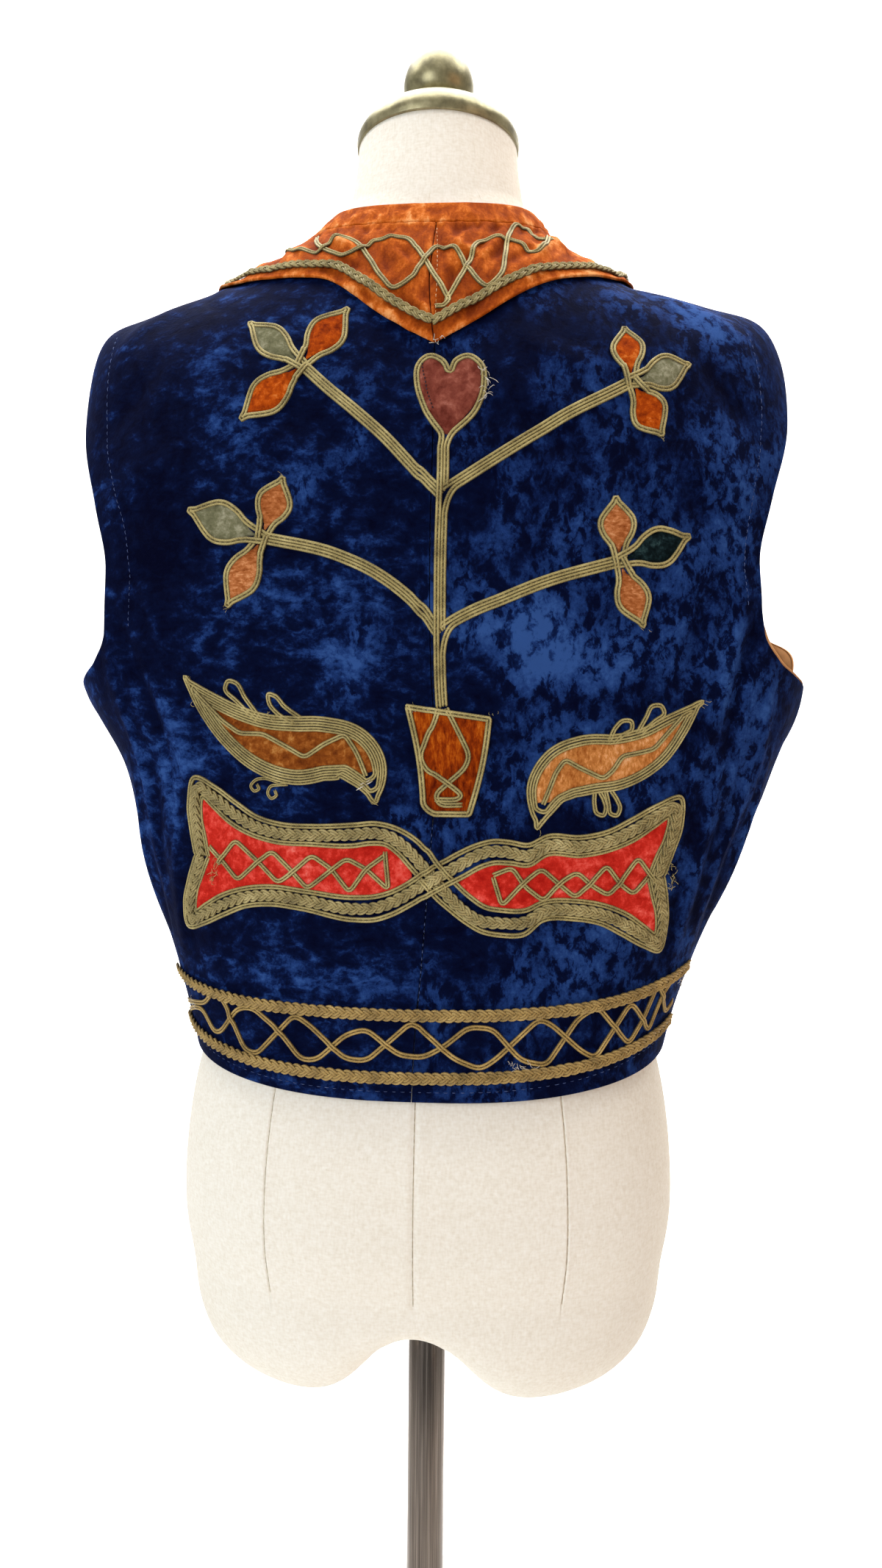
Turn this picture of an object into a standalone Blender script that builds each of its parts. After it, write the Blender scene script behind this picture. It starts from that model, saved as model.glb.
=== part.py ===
"""A folk vest of crushed velvet, worn by a limbless dress form on a round stand.

Metres, +Z up. The origin is on the floor under the middle of the stand. The back of the vest faces -Y
and its opening faces +Y, so the wearer's left side is at -X.
"""

import math
from collections import namedtuple

import bmesh
import bpy
import numpy as np
from mathutils import Vector
from mathutils.geometry import delaunay_2d_cdt

# ---------------------------------------------------------------- driving dimensions
GAP = 0.0003              # left between neighbouring pieces
CLOTH = 0.0022            # velvet with its cotton backing
LINING = 0.0010           # cotton facing inside the armholes
APPLIQUE = 0.0010         # velvet patches
BRAID = 0.0013            # height of a sewn braid
SOUTACHE = 0.0040         # width of one soutache braid
PLAIT = 0.0075            # width of a plait of three cords
SEAT = 0.0008             # from a cloth's face to what is sewn on it
SQUARENESS = 2.5          # exponent of the rings: 2 is an ellipse, more is boxier
SHOULDER_FALL = 1.2       # how soon a ring falls from its height at the side to that at the centre

# Rings of the vest from hem to neck edge, each named by its height at the centre back.
Ring = namedtuple(
    "Ring", "back_height back_depth half_width side_height front_height front_depth sway seam_shift")
VEST_RINGS = [
    Ring(0.923, 0.114, 0.1545, 0.945, 0.934, 0.112, 0.001, -0.004),   # hem, over the hips
    Ring(0.955, 0.112, 0.1610, 0.968, 0.962, 0.115, 0.001, -0.004),
    Ring(1.000, 0.110, 0.1745, 1.006, 1.002, 0.119, 0.002, -0.004),
    Ring(1.060, 0.111, 0.1965, 1.060, 1.060, 0.126, 0.005, -0.005),   # waist, where the cloth hangs clear
    Ring(1.120, 0.113, 0.2145, 1.118, 1.120, 0.134, 0.009, -0.005),
    Ring(1.175, 0.118, 0.2380, 1.172, 1.180, 0.139, 0.004, 0.001),    # underarm
    Ring(1.250, 0.123, 0.2400, 1.265, 1.250, 0.136, 0.001, 0.006),
    Ring(1.305, 0.123, 0.2345, 1.350, 1.305, 0.126, 0.0, 0.008),      # shoulder blades
    Ring(1.345, 0.119, 0.2175, 1.4105, 1.345, 0.113, -0.003, 0.011),  # tip of the shoulder
    Ring(1.375, 0.112, 0.1840, 1.4225, 1.368, 0.102, -0.006, 0.014),
    Ring(1.403, 0.102, 0.1395, 1.4345, 1.386, 0.092, -0.007, 0.015),
    Ring(1.430, 0.088, 0.1025, 1.4510, 1.404, 0.081, -0.005, 0.012),
    Ring(1.452, 0.073, 0.0780, 1.4690, 1.420, 0.071, -0.003, 0.008),
    Ring(1.4685, 0.0625, 0.0665, 1.4830, 1.431, 0.0645, -0.001, 0.004),     # neck edge
]
HEM, UNDERARM, SHOULDER_TIP, NECK = 0.923, 1.175, 1.345, 1.4685

# Where the panels end, as turns in degrees from the centre back: 90 is the side and 180 the centre front.
PanelEdge = namedtuple("PanelEdge", "level back_turn front_turn opening_turn")
PANEL_EDGES = [
    PanelEdge(0.923, 80.0, 80.0, 178.0),
    PanelEdge(0.950, 80.0, 80.0, 178.0),
    PanelEdge(0.980, 80.0, 80.0, 178.0),
    PanelEdge(1.008, 80.0, 80.0, 178.0),
    PanelEdge(1.035, 80.0, 80.0, 178.0),
    PanelEdge(1.060, 80.0, 80.0, 178.0),
    PanelEdge(1.085, 80.0, 80.0, 178.0),
    PanelEdge(1.110, 80.0, 80.0, 178.0),
    PanelEdge(1.133, 80.0, 80.0, 178.0),
    PanelEdge(1.155, 80.0, 80.0, 178.0),
    PanelEdge(1.175, 80.0, 80.0, 178.0),     # the side seam ends and the armhole begins
    PanelEdge(1.178, 70.0, 92.0, 178.0),
    PanelEdge(1.184, 60.5, 101.0, 178.0),
    PanelEdge(1.200, 53.5, 111.0, 178.0),
    PanelEdge(1.235, 52.5, 118.0, 178.0),    # the V of the neck begins
    PanelEdge(1.270, 58.0, 119.0, 175.0),
    PanelEdge(1.300, 68.5, 113.0, 172.5),
    PanelEdge(1.325, 79.5, 103.0, 170.0),
    PanelEdge(1.345, 90.0, 90.0, 167.5),     # the armhole ends and the shoulder seam begins
    PanelEdge(1.360, 90.0, 90.0, 166.0),
    PanelEdge(1.375, 90.0, 90.0, 164.0),
    PanelEdge(1.390, 90.0, 90.0, 161.7),
    PanelEdge(1.405, 90.0, 90.0, 159.0),
    PanelEdge(1.419, 90.0, 90.0, 155.0),
    PanelEdge(1.432, 90.0, 90.0, 150.0),
    PanelEdge(1.444, 90.0, 90.0, 143.0),
    PanelEdge(1.455, 90.0, 90.0, 134.0),
    PanelEdge(1.4685, 90.0, 90.0, 112.0),
]


# ---------------------------------------------------------------- the surface that all cloth follows
def read(rows, key, column, at):
    """The value of a column where the key column reaches at, on a smooth curve through the rows."""
    keys = np.array([getattr(row, key) for row in rows])
    values = np.array([getattr(row, column) for row in rows])
    slopes = np.gradient(values, keys)
    at = np.clip(at, keys[0], keys[-1])
    i = np.clip(np.searchsorted(keys, at, side="right") - 1, 0, len(keys) - 2)
    width = keys[i + 1] - keys[i]
    t = (at - keys[i]) / width
    before = (2 * t**3 - 3 * t**2 + 1) * values[i] + (t**3 - 2 * t**2 + t) * width * slopes[i]
    after = (3 * t**2 - 2 * t**3) * values[i + 1] + (t**3 - t**2) * width * slopes[i + 1]
    return before + after


def ring_points(rings, turn, level):
    """Points of rings at turns in degrees: 0 is the centre back, 90 the side at +X and 180 the front."""
    turn, level = np.broadcast_arrays(np.asarray(turn, float), np.asarray(level, float))
    half_width = read(rings, "back_height", "half_width", level)
    side_height = read(rings, "back_height", "side_height", level)
    back_depth = read(rings, "back_height", "back_depth", level)
    front_depth = read(rings, "back_height", "front_depth", level)
    front_height = read(rings, "back_height", "front_height", level)
    sway = read(rings, "back_height", "sway", level)
    across, along = np.sin(np.radians(turn)), np.cos(np.radians(turn))
    power = 2 / SQUARENESS
    depth = np.where(along > 0, back_depth, front_depth)
    end_height = np.where(along > 0, level, front_height)
    return np.stack([
        np.sign(across) * np.abs(across) ** power * half_width + sway,
        -np.sign(along) * np.abs(along) ** power * depth,
        side_height + (end_height - side_height) * np.abs(along) ** SHOULDER_FALL,
    ], axis=-1)


def on_ring(rings, turn, level, lift=0.0):
    """Points at a lift outward from the rings' surface."""
    point = ring_points(rings, turn, level)
    turn_step, level_step = 0.5, 0.001
    low = np.maximum(np.asarray(level) - level_step, rings[0].back_height)
    high = np.minimum(np.asarray(level) + level_step, rings[-1].back_height)
    around = ring_points(rings, turn + turn_step, level) - ring_points(rings, turn - turn_step, level)
    upward = ring_points(rings, turn, high) - ring_points(rings, turn, low)
    normal = np.cross(around, upward)
    normal /= np.linalg.norm(normal, axis=-1, keepdims=True)
    return point + normal * np.asarray(lift)[..., None]


ARC_TURNS = np.arange(0.0, 181.0)
ARC_LEVELS = np.linspace(HEM, NECK, 80)
arc_steps = np.diff(ring_points(VEST_RINGS, ARC_TURNS, ARC_LEVELS[:, None]), axis=1)
ARCS = np.pad(np.cumsum(np.linalg.norm(arc_steps, axis=-1), axis=1), ((0, 0), (1, 0)))


def arc_row(level):
    """Distances round the ring at a level from the centre back to each of ARC_TURNS."""
    place = np.interp(level, ARC_LEVELS, np.arange(len(ARC_LEVELS)))
    low = min(int(place), len(ARC_LEVELS) - 2)
    return ARCS[low] + (place - low) * (ARCS[low + 1] - ARCS[low])


def turn_at(arc, level):
    """The turn at a distance round the ring from the centre back, which is negative towards -X."""
    arc, level = np.broadcast_arrays(np.asarray(arc, float), np.asarray(level, float))
    turns = [math.copysign(np.interp(abs(a), arc_row(z), ARC_TURNS), a) for a, z in zip(arc.flat, level.flat)]
    return np.reshape(turns, arc.shape)


def on_vest(across, height, lift=0.0):
    """Points on the vest at distances across from the centre back and ring heights."""
    return on_ring(VEST_RINGS, turn_at(across, height), np.asarray(height, float), lift)


# ---------------------------------------------------------------- building closed solids
scene_objects = list(bpy.data.objects)
for old in scene_objects:
    bpy.data.objects.remove(old, do_unlink=True)


def make_material(name, colour, roughness, metallic=0.0):
    """A plain finish: colour is linear RGB."""
    material = bpy.data.materials.new(name)
    material.use_nodes = True
    shader = material.node_tree.nodes["Principled BSDF"]
    shader.inputs["Base Color"].default_value = (*colour, 1.0)
    shader.inputs["Roughness"].default_value = roughness
    shader.inputs["Metallic"].default_value = metallic
    return material


NAVY = ("navy velvet", (0.004, 0.014, 0.075), 0.75)
ORANGE = ("orange velvet", (0.58, 0.10, 0.012), 0.75)
TAN = ("tan cotton", (0.62, 0.30, 0.14), 0.9)
BRAID_GOLD = ("gold braid", (0.33, 0.24, 0.09), 0.7)
LINEN = ("linen", (0.84, 0.78, 0.66), 0.9)
BRONZE = ("bronze paint", (0.16, 0.14, 0.08), 0.35, 0.6)
STEEL = ("brushed steel", (0.30, 0.28, 0.26), 0.35, 1.0)


def add_solid(name, points, faces, finish):
    """One object, closed and facing out, with a material of its own."""
    mesh = bpy.data.meshes.new(name)
    shape = bmesh.new()
    corners = [shape.verts.new(point) for point in points]
    for face in faces:
        shape.faces.new([corners[i] for i in face])
    bmesh.ops.triangulate(shape, faces=shape.faces)
    bmesh.ops.recalc_face_normals(shape, faces=shape.faces)
    if shape.calc_volume(signed=True) < 0:
        bmesh.ops.reverse_faces(shape, faces=shape.faces)
    shape.to_mesh(mesh)
    shape.free()
    mesh.shade_smooth()
    mesh.set_sharp_from_angle(angle=math.radians(40))
    mesh.materials.append(make_material(name + " finish", *finish[1:]))
    made = bpy.data.objects.new(name, mesh)
    bpy.context.scene.collection.objects.link(made)
    return made


def add_sheet(name, outer, inner, finish, closed=False):
    """A wall between two grids of points; a closed one joins its last row to its first."""
    outer, inner = np.asarray(outer), np.asarray(inner)
    rows, columns = outer.shape[:2]
    points = [*outer.reshape(-1, 3), *inner.reshape(-1, 3)]
    offset = rows * columns

    def at(row, column):
        return (row % rows) * columns + column

    faces = []
    for row in range(rows if closed else rows - 1):
        for column in range(columns - 1):
            face = [at(row, column), at(row, column + 1), at(row + 1, column + 1), at(row + 1, column)]
            faces += [face, [i + offset for i in reversed(face)]]
        for column in (0, columns - 1):
            first, second = at(row, column), at(row + 1, column)
            faces.append([first, second, second + offset, first + offset])
    if not closed:
        for row in (0, rows - 1):
            for column in range(columns - 1):
                first, second = at(row, column), at(row, column + 1)
                faces.append([first, second, second + offset, first + offset])
    return add_solid(name, points, faces, finish)


# ---------------------------------------------------------------- stand and dress form
POLE_RADIUS = 0.0125
POLE_TOP = 0.850
BASE_RADIUS = 0.170
BASE_THICKNESS = 0.012
HUB_RADIUS = 0.028
HUB_TOP = 0.045
NECK_TOP = 1.535
FORM_GAP = 0.0008         # the vest rests on the shoulders over this
AROUND = 32               # points round the form and the stand's base
AROUND_SMALL = 24         # points round the pole, the neck cap and the knob
TURN_ANGLES = np.linspace(-math.pi, math.pi, AROUND, endpoint=False)
SMALL_ANGLES = np.linspace(-math.pi, math.pi, AROUND_SMALL, endpoint=False)

# The linen form from hips to upper arm, in the vest's terms, with no sway and no seam shift.
FORM_RINGS = [
    Ring(0.800, 0.108, 0.1550, 0.800, 0.800, 0.096, 0.0, 0.0),
    Ring(0.830, 0.114, 0.1600, 0.830, 0.830, 0.100, 0.0, 0.0),   # hips
    Ring(0.870, 0.115, 0.1600, 0.870, 0.870, 0.102, 0.0, 0.0),
    Ring(0.900, 0.111, 0.1570, 0.900, 0.900, 0.102, 0.0, 0.0),
    Ring(0.935, 0.104, 0.1500, 0.935, 0.935, 0.101, 0.0, 0.0),
    Ring(0.970, 0.096, 0.1390, 0.970, 0.970, 0.098, 0.0, 0.0),
    Ring(1.010, 0.088, 0.1180, 1.010, 1.010, 0.093, 0.0, 0.0),   # waist
    Ring(1.065, 0.091, 0.1190, 1.065, 1.065, 0.101, 0.0, 0.0),
    Ring(1.130, 0.102, 0.1350, 1.130, 1.130, 0.121, 0.0, 0.0),
    Ring(1.195, 0.109, 0.1460, 1.195, 1.195, 0.130, 0.0, 0.0),   # bust
    Ring(1.290, 0.111, 0.1620, 1.290, 1.290, 0.112, 0.0, 0.0),
    Ring(1.325, 0.109, 0.1740, 1.335, 1.325, 0.104, 0.0, 0.0),
    Ring(1.350, 0.108, 0.1830, 1.385, 1.350, 0.101, 0.0, 0.0),   # end of the shoulder
]
SHOULDER_LEVELS = [1.375, 1.396, 1.416, 1.435, 1.453, 1.4685]

# The underside: each ring is the lowest one drawn in by a scale.
UnderRing = namedtuple("UnderRing", "scale height")
UNDERSIDE = [
    UnderRing(0.35, 0.729), UnderRing(0.58, 0.727), UnderRing(0.78, 0.733),
    UnderRing(0.91, 0.750), UnderRing(0.975, 0.773),
]
DIP_HEIGHT, DIP_WIDTH = 0.056, 0.036      # the notch between the two halves of the underside

# The neck above the vest, as circles whose heights differ from back to front.
NeckRing = namedtuple("NeckRing", "radius back_height side_height front_height")
NECK_RINGS = [
    NeckRing(0.0590, 1.480, 1.494, 1.457),
    NeckRing(0.0572, 1.496, 1.504, 1.482),
    NeckRing(0.0550, 1.517, 1.519, 1.515),
    NeckRing(0.0535, 1.535, 1.535, 1.535),
]
CAP_PROFILE = [
    (0, 1.5353), (0.0545, 1.5353), (0.0550, 1.541), (0.0525, 1.547), (0.0465, 1.553),
    (0.0385, 1.5580), (0.0285, 1.5615), (0.0170, 1.5635), (0, 1.5635),
]
KNOB_PROFILE = [
    (0, 1.5638), (0.0170, 1.5638), (0.0190, 1.5665), (0.0178, 1.5685), (0.0205, 1.5705), (0.0237, 1.5780),
    (0.0228, 1.5875), (0.0180, 1.5965), (0.0095, 1.6015), (0, 1.6030),
]


def circle(radius, height, angles=TURN_ANGLES):
    """Points round the stand's axis, the first one at the front."""
    heights = np.broadcast_to(height, angles.shape)
    return np.stack([radius * np.sin(angles), -radius * np.cos(angles), heights], axis=-1)


def even_turns():
    """Turns whose points lie evenly round a ring as seen from above."""
    power = SQUARENESS / 2
    across = np.sign(np.sin(TURN_ANGLES)) * np.abs(np.sin(TURN_ANGLES)) ** power
    along = np.sign(np.cos(TURN_ANGLES)) * np.abs(np.cos(TURN_ANGLES)) ** power
    return np.degrees(np.arctan2(across, along))


def add_loft(name, rows, finish):
    """A closed piece through rows of equal length; its first and last rows are single points."""
    count = len(rows[1])
    points = [point for row in rows for point in row]
    faces = []
    for i in range(count):
        j = (i + 1) % count
        faces.append([0, 1 + i, 1 + j])
        last = len(points) - 1
        faces.append([last, last - 1 - i, last - 1 - j])
    for row in range(len(rows) - 3):
        low, high = 1 + row * count, 1 + (row + 1) * count
        for i in range(count):
            j = (i + 1) % count
            faces.append([low + i, low + j, high + j, high + i])
    return add_solid(name, points, faces, finish)


def add_turned(name, profile, finish, angles=SMALL_ANGLES):
    """A round piece about the stand's axis from (radius, height) rows that begin and end on it."""
    rows = [[(0, 0, h)] if r == 0 else circle(r, h, angles) for r, h in profile]
    return add_loft(name, rows, finish)


def add_stand():
    """The round base with its hub, and the pole that stands in it."""
    bore = POLE_RADIUS + GAP
    edge = 0.003
    add_turned("stand_base", [
        (0, 0), (BASE_RADIUS - edge, 0), (BASE_RADIUS, edge), (BASE_RADIUS, BASE_THICKNESS - edge),
        (BASE_RADIUS - edge, BASE_THICKNESS), (HUB_RADIUS, BASE_THICKNESS), (HUB_RADIUS, HUB_TOP - edge),
        (HUB_RADIUS - edge, HUB_TOP), (bore, HUB_TOP), (bore, BASE_THICKNESS), (0, BASE_THICKNESS),
    ], STEEL, TURN_ANGLES)
    add_turned("stand_pole", [
        (0, BASE_THICKNESS + GAP), (POLE_RADIUS, BASE_THICKNESS + GAP),
        (POLE_RADIUS, POLE_TOP - GAP), (0, POLE_TOP - GAP),
    ], STEEL)


def add_form():
    """The linen torso, bored for the pole, and its neck cap and knob."""
    turns = even_turns()
    bore = POLE_RADIUS + GAP
    rows = [[(0, 0, POLE_TOP)], circle(bore, POLE_TOP), circle(bore, UNDERSIDE[0].height + DIP_HEIGHT)]
    lowest = on_ring(FORM_RINGS, turns, FORM_RINGS[0].back_height)
    for scale, height in UNDERSIDE:
        ring = lowest * (scale, scale, 0)
        notch = DIP_HEIGHT * np.exp(-(ring[:, 0] / DIP_WIDTH) ** 2) * (1 - scale**8)
        ring[:, 2] = height + notch
        rows.append(ring)
    rows += [on_ring(FORM_RINGS, turns, ring.back_height) for ring in FORM_RINGS]
    rows += [on_ring(VEST_RINGS, turns, level, -(CLOTH + FORM_GAP)) for level in SHOULDER_LEVELS]
    for radius, back, side, front in NECK_RINGS:
        along = np.cos(TURN_ANGLES)
        height = side + (np.where(along > 0, back, front) - side) * along**2
        rows.append(circle(radius, height))
    rows.append([(0, 0, NECK_TOP)])
    add_loft("form_torso", rows, LINEN)
    add_turned("form_neck_cap", CAP_PROFILE, BRONZE)
    add_turned("form_knob", KNOB_PROFILE, BRONZE)


# ---------------------------------------------------------------- the vest's panels
PANEL_COLUMNS = 13
LEVELS = np.array([edge.level for edge in PANEL_EDGES])


def arc_at(turn, level):
    """The distance round the ring from the centre back to a turn."""
    return float(np.interp(turn, ARC_TURNS, arc_row(level)))


def seam_at(level):
    """How far the centre back seam lies from the middle of the back."""
    return float(read(VEST_RINGS, "back_height", "seam_shift", level))


def panel_grid(spans, lift):
    """Rows of points between the (start, end) distances of each level."""
    shares = np.linspace(0, 1, PANEL_COLUMNS)
    return [
        on_vest(start + (end - start) * shares, level, lift)
        for level, (start, end) in zip(LEVELS, spans)
    ]


def add_panels():
    """Two backs, which meet in the centre seam, and two fronts, which stop short of each other."""
    for name, side in (("left", -1), ("right", 1)):
        back = [
            (seam_at(e.level) + side * GAP / 2, side * (arc_at(e.back_turn, e.level) - GAP / 2))
            for e in PANEL_EDGES
        ]
        front = [
            (side * (arc_at(e.front_turn, e.level) + GAP / 2), side * arc_at(e.opening_turn, e.level))
            for e in PANEL_EDGES
        ]
        add_sheet("vest_back_" + name, panel_grid(back, 0.0), panel_grid(back, -CLOTH), NAVY)
        add_sheet("vest_front_" + name, panel_grid(front, 0.0), panel_grid(front, -CLOTH), NAVY)


FACING_WIDTH = 0.028
FACING_SEAT = 0.0018       # clears the bend of the wall between its points


def add_armhole_facings():
    """A cotton strip inside each armhole, all round it."""
    edges = [e for e in PANEL_EDGES if UNDERARM <= e.level <= SHOULDER_TIP]
    path = [(arc_at(e.front_turn, e.level) + GAP, e.level) for e in edges]
    path += [(arc_at(e.back_turn, e.level) - GAP, e.level) for e in reversed(edges)]
    path = np.array(path)
    middle = np.array([np.mean(path[:, 0]), np.mean(path[:, 1])])
    lift = -(CLOTH + FACING_SEAT)
    for name, side in (("left", -1), ("right", 1)):
        away = path - middle
        away /= np.linalg.norm(away, axis=1, keepdims=True)
        loops = [path, path + away * FACING_WIDTH]
        grids = [
            np.stack([on_vest(side * loop[:, 0], loop[:, 1], depth) for loop in loops], axis=1)
            for depth in (lift, lift - LINING)
        ]
        add_sheet("armhole_facing_" + name, *grids, TAN, closed=True)


# ---------------------------------------------------------------- the collar
COLLAR_THICKNESS = 0.0018
COLLAR_SEAT = 0.0014      # clears the bends of the shoulder
BAND_LOW, BAND_HIGH = 1.4515, 1.4685
BAND_LINES = [(BAND_LOW, 1.0), (1.460, 0.93), (BAND_HIGH, 0.84)]    # levels, and how far round each reaches

# The collar from the centre back seam to the shoulder seam; its share is of the way between them.
CollarRow = namedtuple("CollarRow", "share left_level right_level")
COLLAR_BACK = [
    CollarRow(0.0, 1.3615, 1.3615), CollarRow(0.10, 1.3765, 1.3755), CollarRow(0.20, 1.3925, 1.3885),
    CollarRow(0.30, 1.4050, 1.3975), CollarRow(0.40, 1.4080, 1.4025), CollarRow(0.52, 1.4075, 1.4040),
    CollarRow(0.64, 1.4060, 1.4035), CollarRow(0.75, 1.4045, 1.4035), CollarRow(0.84, 1.4040, 1.4040),
    CollarRow(0.92, 1.4040, 1.4040), CollarRow(1.0, 1.4040, 1.4040),
]
# Its end on the front, which narrows to a point at the foot of the neck's V.
CollarEnd = namedtuple("CollarEnd", "inner_turn inner_level outer_turn outer_level")
COLLAR_FRONT = [
    CollarEnd(97.0, 1.4512, 95.0, 1.4038), CollarEnd(104.0, 1.4512, 101.0, 1.4025),
    CollarEnd(112.0, 1.4512, 108.0, 1.3995), CollarEnd(122.0, 1.4512, 116.5, 1.3945),
    CollarEnd(132.0, 1.4505, 125.0, 1.3880), CollarEnd(139.5, 1.4450, 131.5, 1.3795),
    CollarEnd(146.0, 1.4370, 138.0, 1.3690), CollarEnd(154.3, 1.4170, 149.0, 1.3430),
    CollarEnd(159.8, 1.3960, 156.0, 1.3190), CollarEnd(164.0, 1.3720, 161.0, 1.2975),
    CollarEnd(167.5, 1.3440, 165.7, 1.2780), CollarEnd(171.4, 1.3100, 170.3, 1.2600),
    CollarEnd(174.7, 1.2730, 173.9, 1.2480), CollarEnd(177.4, 1.2420, 176.8, 1.2360),
]


def collar_edges(side):
    """The collar's inner and outer edges as (across, height) rows from the centre back to its point."""
    inner, outer = [], []
    for row in COLLAR_BACK:
        outer_level = row.left_level if side < 0 else row.right_level
        for edge, level in ((inner, BAND_LOW - GAP), (outer, outer_level)):
            seam, shoulder = seam_at(level) + side * GAP / 2, side * arc_at(90.0, level)
            edge.append((seam + (shoulder - seam) * row.share, level))
    for end in COLLAR_FRONT:
        inner.append((side * arc_at(end.inner_turn, end.inner_level), end.inner_level))
        outer.append((side * arc_at(end.outer_turn, end.outer_level), end.outer_level))
    return np.array(inner), np.array(outer)


def collar_points(side, inward, lift):
    """A row of points at shares inward from the outer edge for each row of the collar."""
    inner, outer = collar_edges(side)
    flat = outer[:, None] + (inner - outer)[:, None] * np.asarray(inward)[..., None]
    return on_vest(flat[..., 0], flat[..., 1], lift)


def neck_turns(side):
    """The turns of the collar's rows along the foot of the neck band, from the centre back."""
    inner, _ = collar_edges(side)
    count = len(COLLAR_BACK) + 5
    return np.abs(turn_at(inner[:count, 0], inner[:count, 1]))


def add_collar():
    """Two halves that lie over the shoulders, the neck band above them, and a plait on each half."""
    low, high = COLLAR_SEAT, COLLAR_SEAT + COLLAR_THICKNESS
    columns = np.broadcast_to(np.linspace(0, 1, 6), (len(COLLAR_BACK) + len(COLLAR_FRONT), 6))
    for name, side in (("left", -1), ("right", 1)):
        grids = [collar_points(side, columns, lift) for lift in (high, low)]
        add_sheet("collar_" + name, *grids, ORANGE)
        inner, outer = collar_edges(side)
        width = np.linalg.norm(inner - outer, axis=1)
        count = int(np.sum(width > 0.030))
        middle = 0.0115 / width[:count]
        half = PLAIT / 2 / width[:count]
        shares = np.stack([middle - half, middle + half], axis=1)
        inner, outer = inner[:count], outer[:count]
        flat = outer[:, None] + (inner - outer)[:, None] * shares[..., None]
        flat[0, :, 0] += side * 0.0004
        sheet_low, sheet_high = high + SEAT, high + SEAT + BRAID
        grids = [on_vest(flat[..., 0], flat[..., 1], lift) for lift in (sheet_high, sheet_low)]
        add_sheet("collar_plait_" + name, *grids, BRAID_GOLD)
    turns = np.concatenate([-neck_turns(-1)[:0:-1], neck_turns(1)])
    band = np.array([
        [(math.copysign(arc_at(abs(turn) * reach, level), turn), level) for level, reach in BAND_LINES]
        for turn in turns
    ])
    grids = [on_vest(band[..., 0], band[..., 1], lift) for lift in (high, low)]
    add_sheet("neck_band", *grids, ORANGE)


# ---------------------------------------------------------------- braids and patches, in mm on the back
def smooth_path(points, step, closed=False):
    """A smooth curve through points, with a point about every step."""
    points = np.asarray(points, float)
    if closed:
        points = np.vstack([points[-2:], points, points[:3]])
    distance = np.concatenate([[0], np.cumsum(np.linalg.norm(np.diff(points, axis=0), axis=1))])
    slopes = np.gradient(points, distance, axis=0)
    start, end = (distance[2], distance[-3]) if closed else (0, distance[-1])
    count = max(int(round((end - start) / step)), 2)
    at = np.linspace(start, end, count + 1)
    if closed:
        at = at[:-1]
    i = np.clip(np.searchsorted(distance, at, side="right") - 1, 0, len(points) - 2)
    width = (distance[i + 1] - distance[i])[:, None]
    t = (at - distance[i])[:, None] / width
    before = (2 * t**3 - 3 * t**2 + 1) * points[i] + (t**3 - 2 * t**2 + t) * width * slopes[i]
    after = (3 * t**2 - 2 * t**3) * points[i + 1] + (t**3 - t**2) * width * slopes[i + 1]
    return before + after


def beside(path, distance, closed=False):
    """The path moved to its left by a distance, mitred at its corners."""
    path = np.asarray(path, float)
    if closed:
        ahead = np.roll(path, -1, axis=0) - path
        behind = np.roll(ahead, 1, axis=0)
    else:
        steps = np.diff(path, axis=0)
        ahead = np.vstack([steps, steps[-1:]])
        behind = np.vstack([steps[:1], steps])
    ahead = ahead / np.linalg.norm(ahead, axis=1, keepdims=True)
    behind = behind / np.linalg.norm(behind, axis=1, keepdims=True)
    bisector = ahead + behind
    bisector /= np.linalg.norm(bisector, axis=1, keepdims=True)
    stretch = np.maximum(np.sum(bisector * ahead, axis=1, keepdims=True), 0.5)
    return path + np.stack([-bisector[:, 1], bisector[:, 0]], axis=1) * distance / stretch


def inset(outline, distance):
    """A closed outline drawn in by a distance, whichever way round it runs."""
    ahead = np.roll(outline, -1, axis=0)
    turn = np.sum(outline[:, 0] * ahead[:, 1] - outline[:, 1] * ahead[:, 0])
    return beside(outline, math.copysign(distance, turn), closed=True)


def from_millimetres(flat, lift):
    """Points on the back from millimetres across and millimetres of ring height."""
    flat = np.asarray(flat) / 1000
    return on_vest(flat[..., 0], flat[..., 1], lift)


def add_band(name, left, right, lift=SEAT, closed=False, columns=2):
    """A sewn band between two edges; lift may differ along it."""
    shares = np.linspace(0, 1, columns)[None, :, None]
    flat = left[:, None] + (right - left)[:, None] * shares
    lift = np.broadcast_to(np.asarray(lift, float), (len(flat),))[:, None]
    grids = [from_millimetres(flat, np.broadcast_to(level, flat.shape[:2])) for level in (lift + BRAID, lift)]
    return add_sheet(name, *grids, BRAID_GOLD, closed=closed)


def add_braid(name, path, width=SOUTACHE, lift=SEAT, closed=False):
    """A braid of even width along a path."""
    half = width * 1000 / 2
    return add_band(name, beside(path, half, closed), beside(path, -half, closed), lift, closed=closed)


def is_inside(point, outline):
    """Whether a flat point lies inside a closed outline."""
    ahead = np.roll(outline, -1, axis=0)
    crosses = (outline[:, 1] > point[1]) != (ahead[:, 1] > point[1])
    rise = np.where(crosses, ahead[:, 1] - outline[:, 1], 1.0)
    reach = outline[:, 0] + (point[1] - outline[:, 1]) * (ahead[:, 0] - outline[:, 0]) / rise
    return bool(np.sum(crosses & (reach > point[0])) % 2)


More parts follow.
